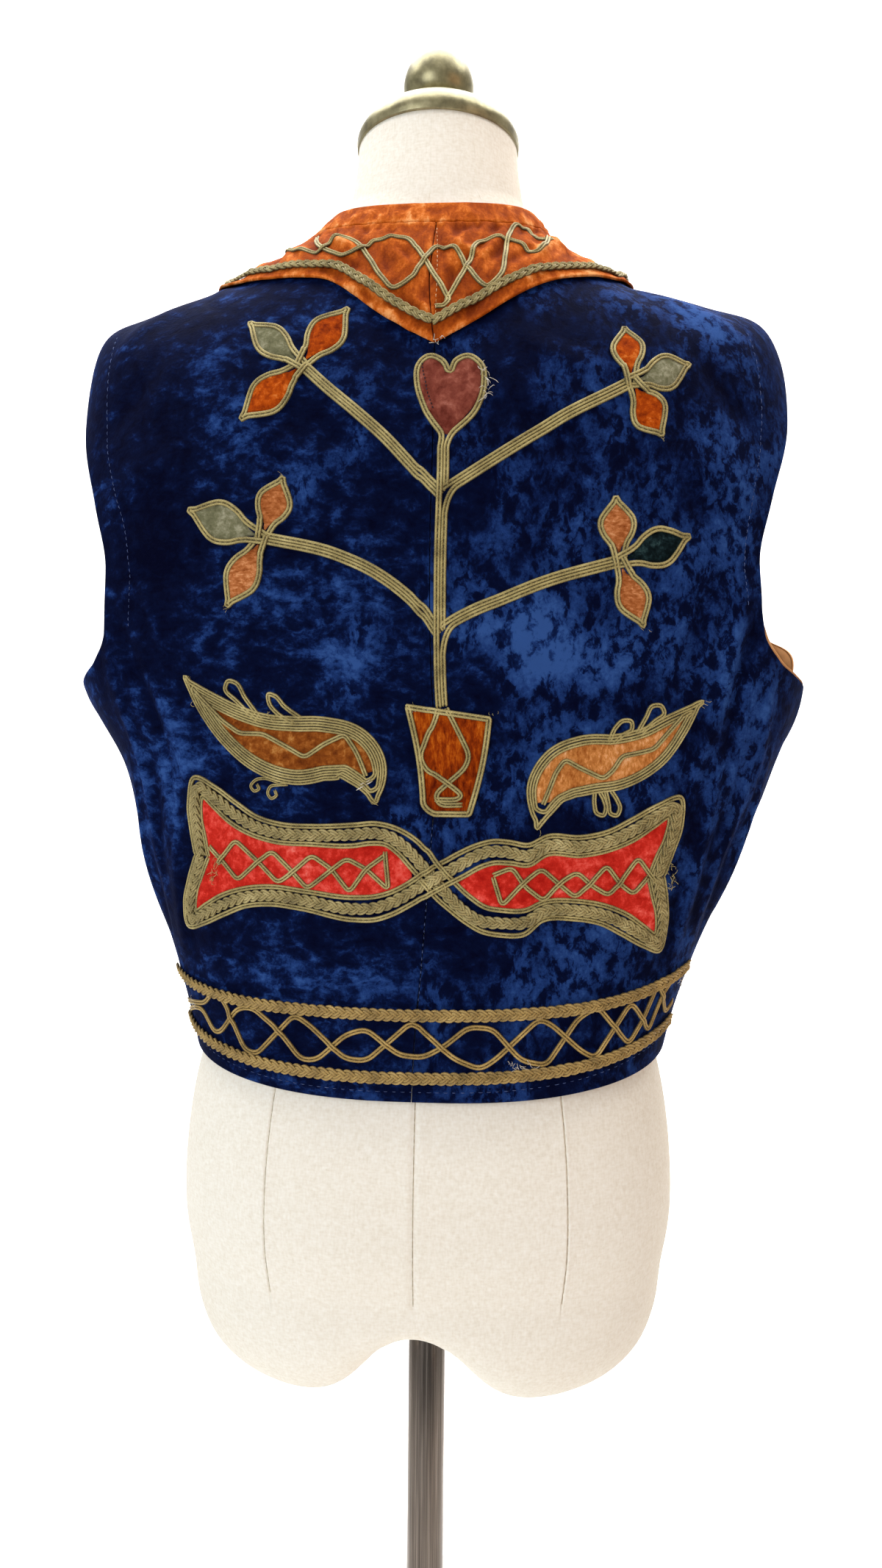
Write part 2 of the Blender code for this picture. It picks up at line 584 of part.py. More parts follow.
def fill(outline, spacing=11.0):
    """Inner points and triangles of a flat outline; the outline's own points come first."""
    low, high = outline.min(axis=0), outline.max(axis=0)
    lattice = [
        (x, y)
        for x in np.arange(low[0] + spacing / 2, high[0], spacing)
        for y in np.arange(low[1] + spacing / 2, high[1], spacing)
    ]
    inner = [
        p for p in lattice
        if is_inside(p, outline) and np.min(np.linalg.norm(outline - p, axis=1)) > spacing * 0.45
    ]
    corners = [Vector(p) for p in [*outline, *inner]]
    flat, _, faces, *_ = delaunay_2d_cdt(corners, [], [list(range(len(outline)))], 1, 1e-5)
    return np.array(flat)[len(outline):], faces


def add_patch(name, outline, finish, rim=None):
    """A cloth patch; with a rim, the inner edge of a braid that is raised round its border."""
    outline = np.asarray(outline, float)
    count = len(outline)
    cloth_top = SEAT + APPLIQUE
    low_inner, low_faces = fill(outline)
    top_edge = outline if rim is None else np.asarray(rim, float)
    top_inner, top_faces = fill(top_edge)
    layers = [(outline, SEAT), (low_inner, SEAT), (top_inner, cloth_top), (top_edge, cloth_top)]
    if rim is not None:
        layers += [(outline, SEAT + BRAID), (top_edge, SEAT + BRAID)]
    points, starts = [], []
    for flat, lift in layers:
        starts.append(len(points))
        if len(flat):
            points += list(from_millimetres(flat, lift))
    low_start, low_inner_start, top_inner_start, top_start = starts[:4]

    def shifted(face, edge_start, inner_start):
        return [edge_start + i if i < count else inner_start + i - count for i in face]

    faces = [shifted(face[::-1], low_start, low_inner_start) for face in low_faces]
    faces += [shifted(face, top_start, top_inner_start) for face in top_faces]
    loops = [low_start, top_start] if rim is None else [low_start, starts[4], starts[5], top_start]
    for first, second in zip(loops, loops[1:]):
        for i in range(count):
            j = (i + 1) % count
            faces.append([first + i, first + j, second + j, second + i])
    return add_solid(name, points, faces, finish)


# ---------------------------------------------------------------- the hem band
HEM_PLAIT_LOW, HEM_PLAIT_HIGH = 937.5, 973.5    # ring heights of the two plaits
LATTICE_PITCH, LATTICE_REACH = 34.0, 8.5        # between crossings, and from the middle line to a peak
LATTICE_BRAID = 0.0036
HEM_BAND_TURN = 78.0                            # the band ends just short of the side seams
STACK = BRAID + 0.0006                          # how much higher the upper one of two crossing braids lies
ON_PATCH = SEAT + STACK                         # seat of what is sewn on a patch


def wave(start, end, middle, pitch, reach, phase):
    """A strand that swings about a level line, four points to a pitch; it peaks at whole pitches."""
    count = int((end - start) // (pitch / 4)) + 1
    across = start + pitch / 4 * np.arange(count)
    swing = reach * np.cos(math.pi * (across - start) / pitch + phase)
    return np.stack([across, middle + swing], axis=1)


def crossing_lifts(path, middle, base):
    """The upper strand's seats: down on the cloth at its peaks and raised near the crossings."""
    reach = np.max(np.abs(path[:, 1] - middle))
    return np.where(np.abs(path[:, 1] - middle) > reach * 0.9, base, base + STACK)


def add_hem_band():
    """Two plaits from side seam to side seam, and two strands that cross between them."""
    for name, height in (("lower", HEM_PLAIT_LOW), ("upper", HEM_PLAIT_HIGH)):
        reach = arc_at(HEM_BAND_TURN, height / 1000) * 1000
        across = np.linspace(-reach, reach, 31)
        add_braid("hem_plait_" + name, np.stack([across, np.full(31, height)], axis=1), PLAIT)
    middle = (HEM_PLAIT_LOW + HEM_PLAIT_HIGH) / 2
    reach = arc_at(HEM_BAND_TURN, middle / 1000) * 1000
    under = wave(-reach, reach, middle, LATTICE_PITCH, LATTICE_REACH, 0.0)
    over = wave(-reach, reach, middle, LATTICE_PITCH, LATTICE_REACH, math.pi)
    add_braid("hem_strand_under", under, LATTICE_BRAID)
    add_braid("hem_strand_over", over, LATTICE_BRAID, crossing_lifts(over, middle, SEAT))


# ---------------------------------------------------------------- the collar's loose lattice
COLLAR_STRANDS = {
    "collar_strand_under": [
        (-92, 1431), (-76, 1429), (-61, 1429), (-49, 1436), (-38, 1433), (-27, 1420), (-17, 1406), (-10, 1400),
        (-1, 1405), (5, 1416), (13, 1427), (22, 1425), (33, 1410), (45, 1401), (52, 1407), (54, 1422),
        (57, 1438), (64, 1445), (72, 1441), (82, 1435),
    ],
    "collar_strand_over": [
        (-78, 1446), (-66, 1436), (-54, 1427), (-45, 1424), (-35, 1427), (-25, 1433), (-8, 1434), (1, 1426),
        (12, 1407), (21, 1392), (28, 1403), (33, 1417), (37, 1430), (46, 1435), (62, 1431), (74, 1424),
        (81, 1431), (85, 1440),
    ],
}


def add_collar_strands():
    """Two strands across the back of the collar, one over the other."""
    seat = COLLAR_SEAT + COLLAR_THICKNESS + SEAT
    for name, points in COLLAR_STRANDS.items():
        lift = seat if name.endswith("under") else seat + STACK
        add_braid(name, smooth_path(points, 9.0), LATTICE_BRAID, lift)


# ---------------------------------------------------------------- the tree, its heart and its pot
STEM_WIDTH = 0.0084       # two soutaches side by side
LEAF_START = 5.0          # from the end of a branch to the foot of its leaves
GREEN = ("grey-green velvet", (0.20, 0.20, 0.11), 0.8)
DARK_GREEN = ("dark green velvet", (0.005, 0.016, 0.016), 0.75)
SALMON = ("salmon velvet", (0.55, 0.17, 0.06), 0.75)
BROWN = ("brown velvet", (0.25, 0.06, 0.035), 0.75)
RUST = ("rust velvet", (0.36, 0.09, 0.006), 0.7)
RED = ("coral velvet", (0.78, 0.05, 0.035), 0.75)
LEFT_BIRD = ("tawny velvet", (0.32, 0.09, 0.02), 0.7)
RIGHT_BIRD = ("apricot velvet", (0.62, 0.24, 0.08), 0.7)

STEM = [(15.0, 1302.6), (13.2, 1270.0), (10.6, 1205.0), (8.4, 1152.6)]
Sprig = namedtuple("Sprig", "branch leaves")
Leaf = namedtuple("Leaf", "tip width finish")
SPRIGS = {
    "upper_left": Sprig(
        [(4.6, 1283.5), (-15.5, 1306.0), (-41.5, 1333.0), (-65.5, 1349.5)],
        [Leaf((-38, 1384.5), 23, ORANGE), Leaf((-100.5, 1377), 22, GREEN), Leaf((-106, 1314), 22, ORANGE)]),
    "lower_left": Sprig(
        [(2.0, 1208.5), (-12.0, 1223.0), (-43.5, 1241.5), (-92.0, 1248.5)],
        [Leaf((-79, 1286), 22, SALMON), Leaf((-142, 1266), 24, GREEN), Leaf((-117, 1209), 22, SALMON)]),
    "upper_right": Sprig(
        [(20.4, 1281.5), (47.6, 1296.0), (83.5, 1315.0), (122.5, 1330.5)],
        [Leaf((124.5, 1367), 21, ORANGE), Leaf((165, 1337.5), 20, GREEN), Leaf((142, 1300), 23, ORANGE)]),
    "lower_right": Sprig(
        [(17.6, 1203.0), (37.5, 1213.0), (73.5, 1226.5), (110.5, 1235.5)],
        [Leaf((112, 1273), 22, SALMON), Leaf((159, 1250), 22, DARK_GREEN), Leaf((128, 1198), 21, SALMON)]),
}
# A leaf's half width, as a share of its widest, at shares of its length.
LEAF_SHAPE = [(0.0, 0.10), (0.14, 0.46), (0.32, 0.86), (0.52, 1.0), (0.72, 0.76), (0.88, 0.36), (1.0, 0.07)]
HEART_MIDDLE, HEART_WIDTH, HEART_HEIGHT = (18.5, 1334.0), 43.0, 52.0
HEART_LEAN = 0.08         # across for each millimetre up
POT_CORNERS = [(-14.0, 1154.0), (-7.0, 1092.5), (24.0, 1090.0), (34.5, 1147.5)]
POT_LOOP = [(8, 1144), (-2, 1132), (-6, 1121), (1, 1111), (9, 1103), (16, 1111), (21, 1122), (17, 1133)]


def leaf_outline(foot, tip, width, shrink=0.0, start=0.0, end=1.0):
    """A pointed leaf; the inner edge of its rim is shrunk and has a later start and an earlier end."""
    shares = start + (end - start) * np.array([row[0] for row in LEAF_SHAPE])
    half = np.interp(shares, *np.transpose(LEAF_SHAPE)) * width / 2
    half = np.maximum(half - shrink, 0.4)
    foot, tip = np.array(foot, float), np.array(tip, float)
    along = (tip - foot) / np.linalg.norm(tip - foot)
    beside_it = np.array([-along[1], along[0]])
    middle = foot + (tip - foot) * shares[:, None]
    return np.vstack([middle - beside_it * half[:, None], (middle + beside_it * half[:, None])[::-1]])


def heart_outline(shrink=0.0):
    """The heart curve, pointed below."""
    t = np.linspace(0, 2 * math.pi, 20, endpoint=False)
    up = (13 * np.cos(t) - 5 * np.cos(2 * t) - 2 * np.cos(3 * t) - np.cos(4 * t)) / 29
    up = up * (HEART_HEIGHT - 2.6 * shrink)
    across = np.sin(t) ** 3 * (HEART_WIDTH / 2 - shrink) + up * HEART_LEAN
    return np.stack([HEART_MIDDLE[0] + across, HEART_MIDDLE[1] + up], axis=1)


def add_tree():
    """Stem, branches, leaves, heart and pot."""
    add_braid("tree_stem", smooth_path(STEM, 21.0), STEM_WIDTH)
    rim = SOUTACHE * 1000
    for place, (branch, leaves) in SPRIGS.items():
        path = smooth_path(branch, 16.0)
        add_braid("branch_" + place, path, STEM_WIDTH)
        node = path[-1] + (path[-1] - path[-2]) * 4.5 / np.linalg.norm(path[-1] - path[-2])
        for number, (tip, width, finish) in enumerate(leaves, 1):
            away = np.array(tip) - node
            foot = node + away / np.linalg.norm(away) * LEAF_START
            outline = leaf_outline(foot, tip, width)
            inner = leaf_outline(foot, tip, width, rim, 0.18, 0.84)
            add_patch(f"leaf_{place}_{number}", outline, finish, inner)
    add_patch("heart", heart_outline(), BROWN, heart_outline(rim))
    corners = np.array(POT_CORNERS)
    shares = np.array([0.0, 0.25, 0.5, 0.75])[:, None]
    sides = zip(corners, np.roll(corners, -1, axis=0))
    pot = np.vstack([first + (second - first) * shares for first, second in sides])
    add_patch("pot", pot, RUST, inset(pot, rim))
    add_braid("pot_loop", smooth_path(POT_LOOP, 9.0, closed=True), LATTICE_BRAID, ON_PATCH, closed=True)


# ---------------------------------------------------------------- the birds
BIRD_RIM = 11.0           # three soutaches round a bird
Spine = namedtuple("Spine", "across height half_width")
Bird = namedtuple("Bird", "spine zigzag wings feet finish")
BIRDS = {
    "left": Bird(
        [Spine(-147, 1171, 1.0), Spine(-134, 1155.5, 8.5), Spine(-118, 1141, 14.5), Spine(-100, 1131, 18.5),
         Spine(-81, 1127, 20.5), Spine(-63, 1128, 19.0), Spine(-48, 1125.5, 17.0), Spine(-38.5, 1115, 13.0),
         Spine(-34.5, 1105, 7.0), Spine(-33.5, 1096, 1.0)],
        [(-122, 1142), (-110, 1136), (-92, 1136), (-77, 1124), (-60, 1132), (-49, 1132), (-41, 1117)],
        [((-102, 1154.5), (-119, 1172)), ((-77, 1152), (-93, 1163))],
        [((-109.5, 1109), (-111, 1101)), ((-97.5, 1105), (-98, 1097))], LEFT_BIRD),
    "right": Bird(
        [Spine(162, 1159, 1.0), Spine(144, 1143.5, 8.5), Spine(126, 1129.5, 13.5), Spine(107, 1122, 16.5),
         Spine(90, 1120, 17.5), Spine(76, 1115, 16.5), Spine(67.5, 1106, 13.5), Spine(64.5, 1095, 8.5),
         Spine(63.5, 1083, 1.0)],
        [(133, 1133), (114, 1127), (101, 1114), (88, 1122), (77, 1121), (69, 1107)],
        [((104, 1142.5), (117, 1152)), ((123, 1147.5), (139, 1163))],
        [((108.5, 1101), (109, 1093)), ((98.5, 1099), (98, 1091))], RIGHT_BIRD),
}
BIRD_STATIONS = 13


def bird_outline(spine, shrink, start, end, narrowest):
    """The outline at both sides of a stretch of the spine, from tail to beak and back."""
    rows = np.array(spine, float)
    length = np.concatenate([[0], np.cumsum(np.linalg.norm(np.diff(rows[:, :2], axis=0), axis=1))])
    shares = np.linspace(start, end, BIRD_STATIONS) * length[-1]
    fine = smooth_path(rows, length[-1] / 96)
    fine_length = np.linspace(0, length[-1], len(fine))
    middle = np.stack([np.interp(shares, fine_length, fine[:, i]) for i in range(2)], axis=1)
    half = np.maximum(np.interp(shares, fine_length, fine[:, 2]) - shrink, narrowest)
    left = middle + (beside(middle, 1.0) - middle) * half[:, None]
    right = middle - (beside(middle, 1.0) - middle) * half[:, None]
    return np.vstack([left, right[::-1]])


def hairpin(foot, tip, gap=2.3):
    """A braid that runs out to a tip and back beside itself."""
    foot, tip = np.array(foot, float), np.array(tip, float)
    along = (tip - foot) / np.linalg.norm(tip - foot)
    side = np.array([-along[1], along[0]]) * gap
    bend = tip - along * gap
    return [foot + side, bend + side, tip + side * 0.55, tip - side * 0.55, bend - side, foot - side]


def add_birds():
    """Each bird's patch, rim, zigzag, wings and feet."""
    for name, bird in BIRDS.items():
        outer = bird_outline(bird.spine, 0.0, 0.0, 1.0, 0.5)
        inner = bird_outline(bird.spine, BIRD_RIM, 0.20, 0.82, 1.5)
        add_band(f"bird_{name}_rim", outer, inner, closed=True)
        add_patch(f"bird_{name}_patch", inset(inner, 0.5), bird.finish)
        add_braid(f"bird_{name}_zigzag", smooth_path(bird.zigzag, 8.0), LATTICE_BRAID, ON_PATCH)
        for part in ("wings", "feet"):
            pins = [point for foot, tip in getattr(bird, part) for point in hairpin(foot, tip)]
            add_braid(f"bird_{name}_{part}", pins, LATTICE_BRAID)


# ---------------------------------------------------------------- the crossed bands with red patches
# One quarter of the figure, from the crossing to the middle of its tail, as the band's two edges.
BandRow = namedtuple("BandRow", "outer_along outer_side inner_along inner_side")
BAND_QUARTER = [
    BandRow(-5.1, 5.1, 5.1, -5.1), BandRow(1.2, 11.6, 11.0, 0.9), BandRow(8.0, 18.0, 15.0, 4.5),
    BandRow(17.0, 24.5, 21.5, 10.5), BandRow(29.0, 28.0, 31.0, 13.5), BandRow(50.0, 28.0, 50.0, 13.5),
    BandRow(72.0, 26.5, 72.0, 12.0), BandRow(92.0, 26.0, 94.0, 11.5), BandRow(108.0, 29.0, 111.0, 14.5),
    BandRow(124.0, 37.0, 127.0, 20.5), BandRow(140.0, 45.0, 138.0, 28.0), BandRow(156.0, 49.5, 146.5, 34.0),
    BandRow(159.0, 34.0, 145.5, 22.0), BandRow(155.5, 15.0, 141.0, 12.0), BandRow(151.0, 0.2, 136.5, 0.2),
]
CROSSING = (1.0, 1053.0)
RAISED_ROWS = 2
Fish = namedtuple("Fish", "direction tilt length")
FISHES = {"left": Fish(-1, 4.0, 0.99), "right": Fish(1, 0.5, 0.955)}


def fish_points(fish, along, side):
    """Points of one half of the figure from its own length and side."""
    tilt = math.radians(fish.tilt)
    along, side = np.asarray(along) * fish.length, np.asarray(side)
    return np.stack([
        CROSSING[0] + fish.direction * (along * math.cos(tilt) - side * math.sin(tilt)),
        CROSSING[1] + along * math.sin(tilt) + side * math.cos(tilt),
    ], axis=-1)


def quarter(fish, side):
    """The outer and inner edges of a quarter, above or below the middle line."""
    rows = np.array(BAND_QUARTER)
    return fish_points(fish, rows[:, 0], side * rows[:, 1]), fish_points(fish, rows[:, 2], side * rows[:, 3])


def add_crossed_bands():
    """Two bands that cross in the middle, the red patches inside them and the strands on the patches."""
    left, right = FISHES["left"], FISHES["right"]
    count = len(BAND_QUARTER)
    raised = np.where(np.arange(count) < RAISED_ROWS, STACK, 0.0)
    for name, side, rise in (("under", 1, np.zeros(count)), ("over", -1, raised)):
        (left_outer, left_inner), (right_outer, right_inner) = quarter(left, side), quarter(right, -side)
        first = np.vstack([left_outer[:0:-1], (left_outer[:1] + right_inner[:1]) / 2, right_inner[1:]])
        second = np.vstack([left_inner[:0:-1], (left_inner[:1] + right_outer[:1]) / 2, right_outer[1:]])
        lifts = SEAT + np.concatenate([rise[:0:-1], rise])
        add_band("crossed_band_" + name, first, second, lifts, columns=3)
    rows = np.array(BAND_QUARTER)[2:]
    for name, fish in FISHES.items():
        along = np.concatenate([[12.0], rows[:-1, 2], rows[-1:, 2], rows[-2::-1, 2]])
        side = np.concatenate([[0.0], rows[:-1, 3], [0.0], -rows[-2::-1, 3]])
        add_patch(f"crossed_patch_{name}", inset(fish_points(fish, along, side), 0.5), RED)
        for part, phase in (("under", 0.0), ("over", math.pi)):
            path = wave(25.0, 129.0, 0.0, 23.0, 8.6, phase)
            lifts = ON_PATCH if part == "under" else crossing_lifts(path, 0.0, ON_PATCH)
            path = fish_points(fish, path[:, 0], path[:, 1])
            add_braid(f"crossed_strand_{name}_{part}", path, LATTICE_BRAID, lifts)


add_stand()
add_form()
add_panels()
add_armhole_facings()
add_collar()
add_collar_strands()
add_hem_band()
add_tree()
add_birds()
add_crossed_bands()
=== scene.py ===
import math

import bpy
import numpy as np
from mathutils import Matrix, Vector
from mathutils.geometry import delaunay_2d_cdt


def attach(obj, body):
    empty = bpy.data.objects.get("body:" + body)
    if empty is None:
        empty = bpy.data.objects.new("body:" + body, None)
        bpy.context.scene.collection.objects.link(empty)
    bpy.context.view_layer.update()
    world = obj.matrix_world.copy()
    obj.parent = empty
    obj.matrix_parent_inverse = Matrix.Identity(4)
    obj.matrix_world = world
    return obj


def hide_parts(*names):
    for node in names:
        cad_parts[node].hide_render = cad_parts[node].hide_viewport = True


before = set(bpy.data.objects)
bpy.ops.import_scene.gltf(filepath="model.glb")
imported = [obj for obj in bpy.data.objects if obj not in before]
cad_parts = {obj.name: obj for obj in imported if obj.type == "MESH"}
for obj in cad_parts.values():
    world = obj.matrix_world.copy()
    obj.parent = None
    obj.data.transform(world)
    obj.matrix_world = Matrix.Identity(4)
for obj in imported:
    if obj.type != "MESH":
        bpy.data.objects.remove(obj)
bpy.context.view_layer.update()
print("frame loaded")

# The surface that all cloth follows. One row for each ring, from the hem to the neck edge, in metres.
ringColumns = ("level", "backDepth", "halfWidth", "sideHeight", "frontHeight", "frontDepth", "sway",
               "seamShift")
vestRings = np.array([
    (0.923, 0.114, 0.1545, 0.945, 0.934, 0.112, 0.001, -0.0025),   # hem
    (0.955, 0.112, 0.1610, 0.968, 0.962, 0.115, 0.001, -0.0012),
    (1.000, 0.110, 0.1745, 1.006, 1.002, 0.119, 0.002, 0.0008),
    (1.060, 0.111, 0.1965, 1.060, 1.060, 0.126, 0.005, 0.0020),   # waist
    (1.120, 0.113, 0.2145, 1.118, 1.120, 0.134, 0.009, 0.0015),
    (1.175, 0.118, 0.2380, 1.172, 1.180, 0.139, 0.004, 0.0035),    # underarm
    (1.250, 0.123, 0.2400, 1.265, 1.250, 0.136, 0.001, 0.006),
    (1.305, 0.123, 0.2345, 1.350, 1.305, 0.126, 0.000, 0.008),
    (1.345, 0.119, 0.2175, 1.4105, 1.345, 0.113, -0.003, 0.011),  # tip of the shoulder
    (1.375, 0.112, 0.1840, 1.4225, 1.368, 0.102, -0.006, 0.014),
    (1.403, 0.102, 0.1395, 1.4345, 1.386, 0.092, -0.007, 0.015),
    (1.430, 0.088, 0.1025, 1.4510, 1.404, 0.081, -0.005, 0.012),
    (1.452, 0.073, 0.0780, 1.4690, 1.420, 0.071, -0.003, 0.008),
    (1.4685, 0.0625, 0.0665, 1.4830, 1.431, 0.0645, -0.001, 0.004),   # neck edge
])
formRings = np.array([
    (0.800, 0.108, 0.1550, 0.800, 0.800, 0.096, 0, 0),
    (0.830, 0.114, 0.1600, 0.830, 0.830, 0.100, 0, 0),   # hips
    (0.870, 0.115, 0.1600, 0.870, 0.870, 0.102, 0, 0),
    (0.900, 0.111, 0.1570, 0.900, 0.900, 0.102, 0, 0),
    (0.935, 0.104, 0.1500, 0.935, 0.935, 0.101, 0, 0),
    (0.970, 0.096, 0.1390, 0.970, 0.970, 0.098, 0, 0),
    (1.010, 0.088, 0.1180, 1.010, 1.010, 0.093, 0, 0),   # waist
    (1.065, 0.091, 0.1190, 1.065, 1.065, 0.101, 0, 0),
    (1.130, 0.102, 0.1350, 1.130, 1.130, 0.121, 0, 0),
    (1.195, 0.109, 0.1460, 1.195, 1.195, 0.130, 0, 0),   # bust
    (1.290, 0.111, 0.1620, 1.290, 1.290, 0.112, 0, 0),
    (1.325, 0.109, 0.1740, 1.335, 1.325, 0.104, 0, 0),
    (1.350, 0.108, 0.1830, 1.385, 1.350, 0.101, 0, 0),   # end of the shoulder
])
ringShape = {"squareness": 2.5, "shoulderFall": 1.2}
hemLevel, neckLevel = 0.923, 1.4685


# Values between the rows of a table, from each row's value and slope.
def cubicBetween(keys, values, slopes, at):
    i = np.clip(np.searchsorted(keys, at, side="right") - 1, 0, len(keys) - 2)
    width = keys[i + 1] - keys[i]
    t = (at - keys[i]) / width
    if values.ndim > 1:
        width, t = width[:, None], t[:, None]
    before = (2 * t**3 - 3 * t**2 + 1) * values[i] + (t**3 - 2 * t**2 + t) * width * slopes[i]
    after = (3 * t**2 - 2 * t**3) * values[i + 1] + (t**3 - t**2) * width * slopes[i + 1]
    return before + after


def unit(vectors):
    return vectors / np.maximum(np.linalg.norm(vectors, axis=-1, keepdims=True), 1e-9)


# Distances along a line of points.
def runAlong(points):
    return np.concatenate([[0], np.cumsum(np.linalg.norm(np.diff(points, axis=0), axis=1))])


# Points of a line at distances along it.
def readAlong(at, run, points):
    return np.stack([np.interp(at, run, column) for column in np.transpose(points)], axis=1)


# The way a line heads at each of its points.
def aheadOf(points, closed=False):
    return np.roll(points, -1, axis=0) - np.roll(points, 1, axis=0) if closed else np.gradient(points,
                                                                                               axis=0)


# A smooth curve through the rows of a column, read at a level.
def readRing(rings, column, level):
    keys, values = rings[:, 0], rings[:, ringColumns.index(column)]
    return cubicBetween(keys, values, np.gradient(values, keys), np.clip(level, keys[0], keys[-1]))


# Points of the rings at turns in degrees: 0 is the centre back, 90 the side at +X, 180 the front.
def ringPoints(rings, turn, level):
    turn, level = np.broadcast_arrays(np.asarray(turn, float), np.asarray(level, float))
    side, end = np.sin(np.radians(turn)), np.cos(np.radians(turn))
    power = 2 / ringShape["squareness"]
    isBack = end > 0
    depth = np.where(isBack, readRing(rings, "backDepth", level), readRing(rings, "frontDepth", level))
    endHeight = np.where(isBack, level, readRing(rings, "frontHeight", level))
    sideHeight = readRing(rings, "sideHeight", level)
    across = np.sign(side) * np.abs(side) ** power * readRing(rings, "halfWidth", level)
    return np.stack([
        across + readRing(rings, "sway", level),
        -np.sign(end) * np.abs(end) ** power * depth,
        sideHeight + (endHeight - sideHeight) * np.abs(end) ** ringShape["shoulderFall"],
    ], axis=-1)


# The outward normal there.
def ringNormals(rings, turn, level):
    turn, level = np.broadcast_arrays(np.asarray(turn, float), np.asarray(level, float))
    low = np.maximum(level - 0.001, rings[0, 0])
    high = np.minimum(level + 0.001, rings[-1, 0])
    around = ringPoints(rings, turn + 0.5, level) - ringPoints(rings, turn - 0.5, level)
    upward = ringPoints(rings, turn, high) - ringPoints(rings, turn, low)
    return unit(np.cross(around, upward))


# Tables between turns and distances round the vest, so that pieces are placed in millimetres.
arcTable = {"levels": np.linspace(hemLevel, neckLevel, 240), "turns": np.linspace(0, 180, 361)}
arcSteps = np.diff(ringPoints(vestRings, arcTable["turns"], arcTable["levels"][:, None]), axis=1)
arcTable["arcs"] = np.pad(np.cumsum(np.linalg.norm(arcSteps, axis=-1), axis=1), ((0, 0), (1, 0)))
arcTable["places"] = np.arange(0, 0.65, 0.001)
arcTable["turnsAt"] = np.array([
    np.interp(arcTable["places"], row, arcTable["turns"]) for row in arcTable["arcs"]
])


# A value from a table, straight between its rows and columns.
def readTable(table, row, column):
    row = np.clip(row, 0, table.shape[0] - 1.001)
    column = np.clip(column, 0, table.shape[1] - 1.001)
    r, c = row.astype(int), column.astype(int)
    fr, fc = row - r, column - c
    top = table[r, c] * (1 - fc) + table[r, c + 1] * fc
    return top * (1 - fr) + (table[r + 1, c] * (1 - fc) + table[r + 1, c + 1] * fc) * fr


def levelRow(level):
    return (np.asarray(level, float) - hemLevel) / (neckLevel - hemLevel) * (len(arcTable["levels"]) - 1)


# Millimetres round the vest from the centre back to a turn.
def arcAt(turn, level):
    turn, level = np.broadcast_arrays(np.asarray(turn, float), np.asarray(level, float))
    return 1000 * readTable(arcTable["arcs"], levelRow(level), turn * 2)


def seamAt(level):
    return 1000 * readRing(vestRings, "seamShift", level)


# Points and normals on the smooth vest, from millimetres across and millimetres of ring height.
def onVest(flat):
    flat = np.asarray(flat, float)
    across, level = flat[..., 0], flat[..., 1] / 1000
    turn = np.sign(across) * readTable(arcTable["turnsAt"], levelRow(level), np.abs(across))
    return ringPoints(vestRings, turn, level), ringNormals(vestRings, turn, level)


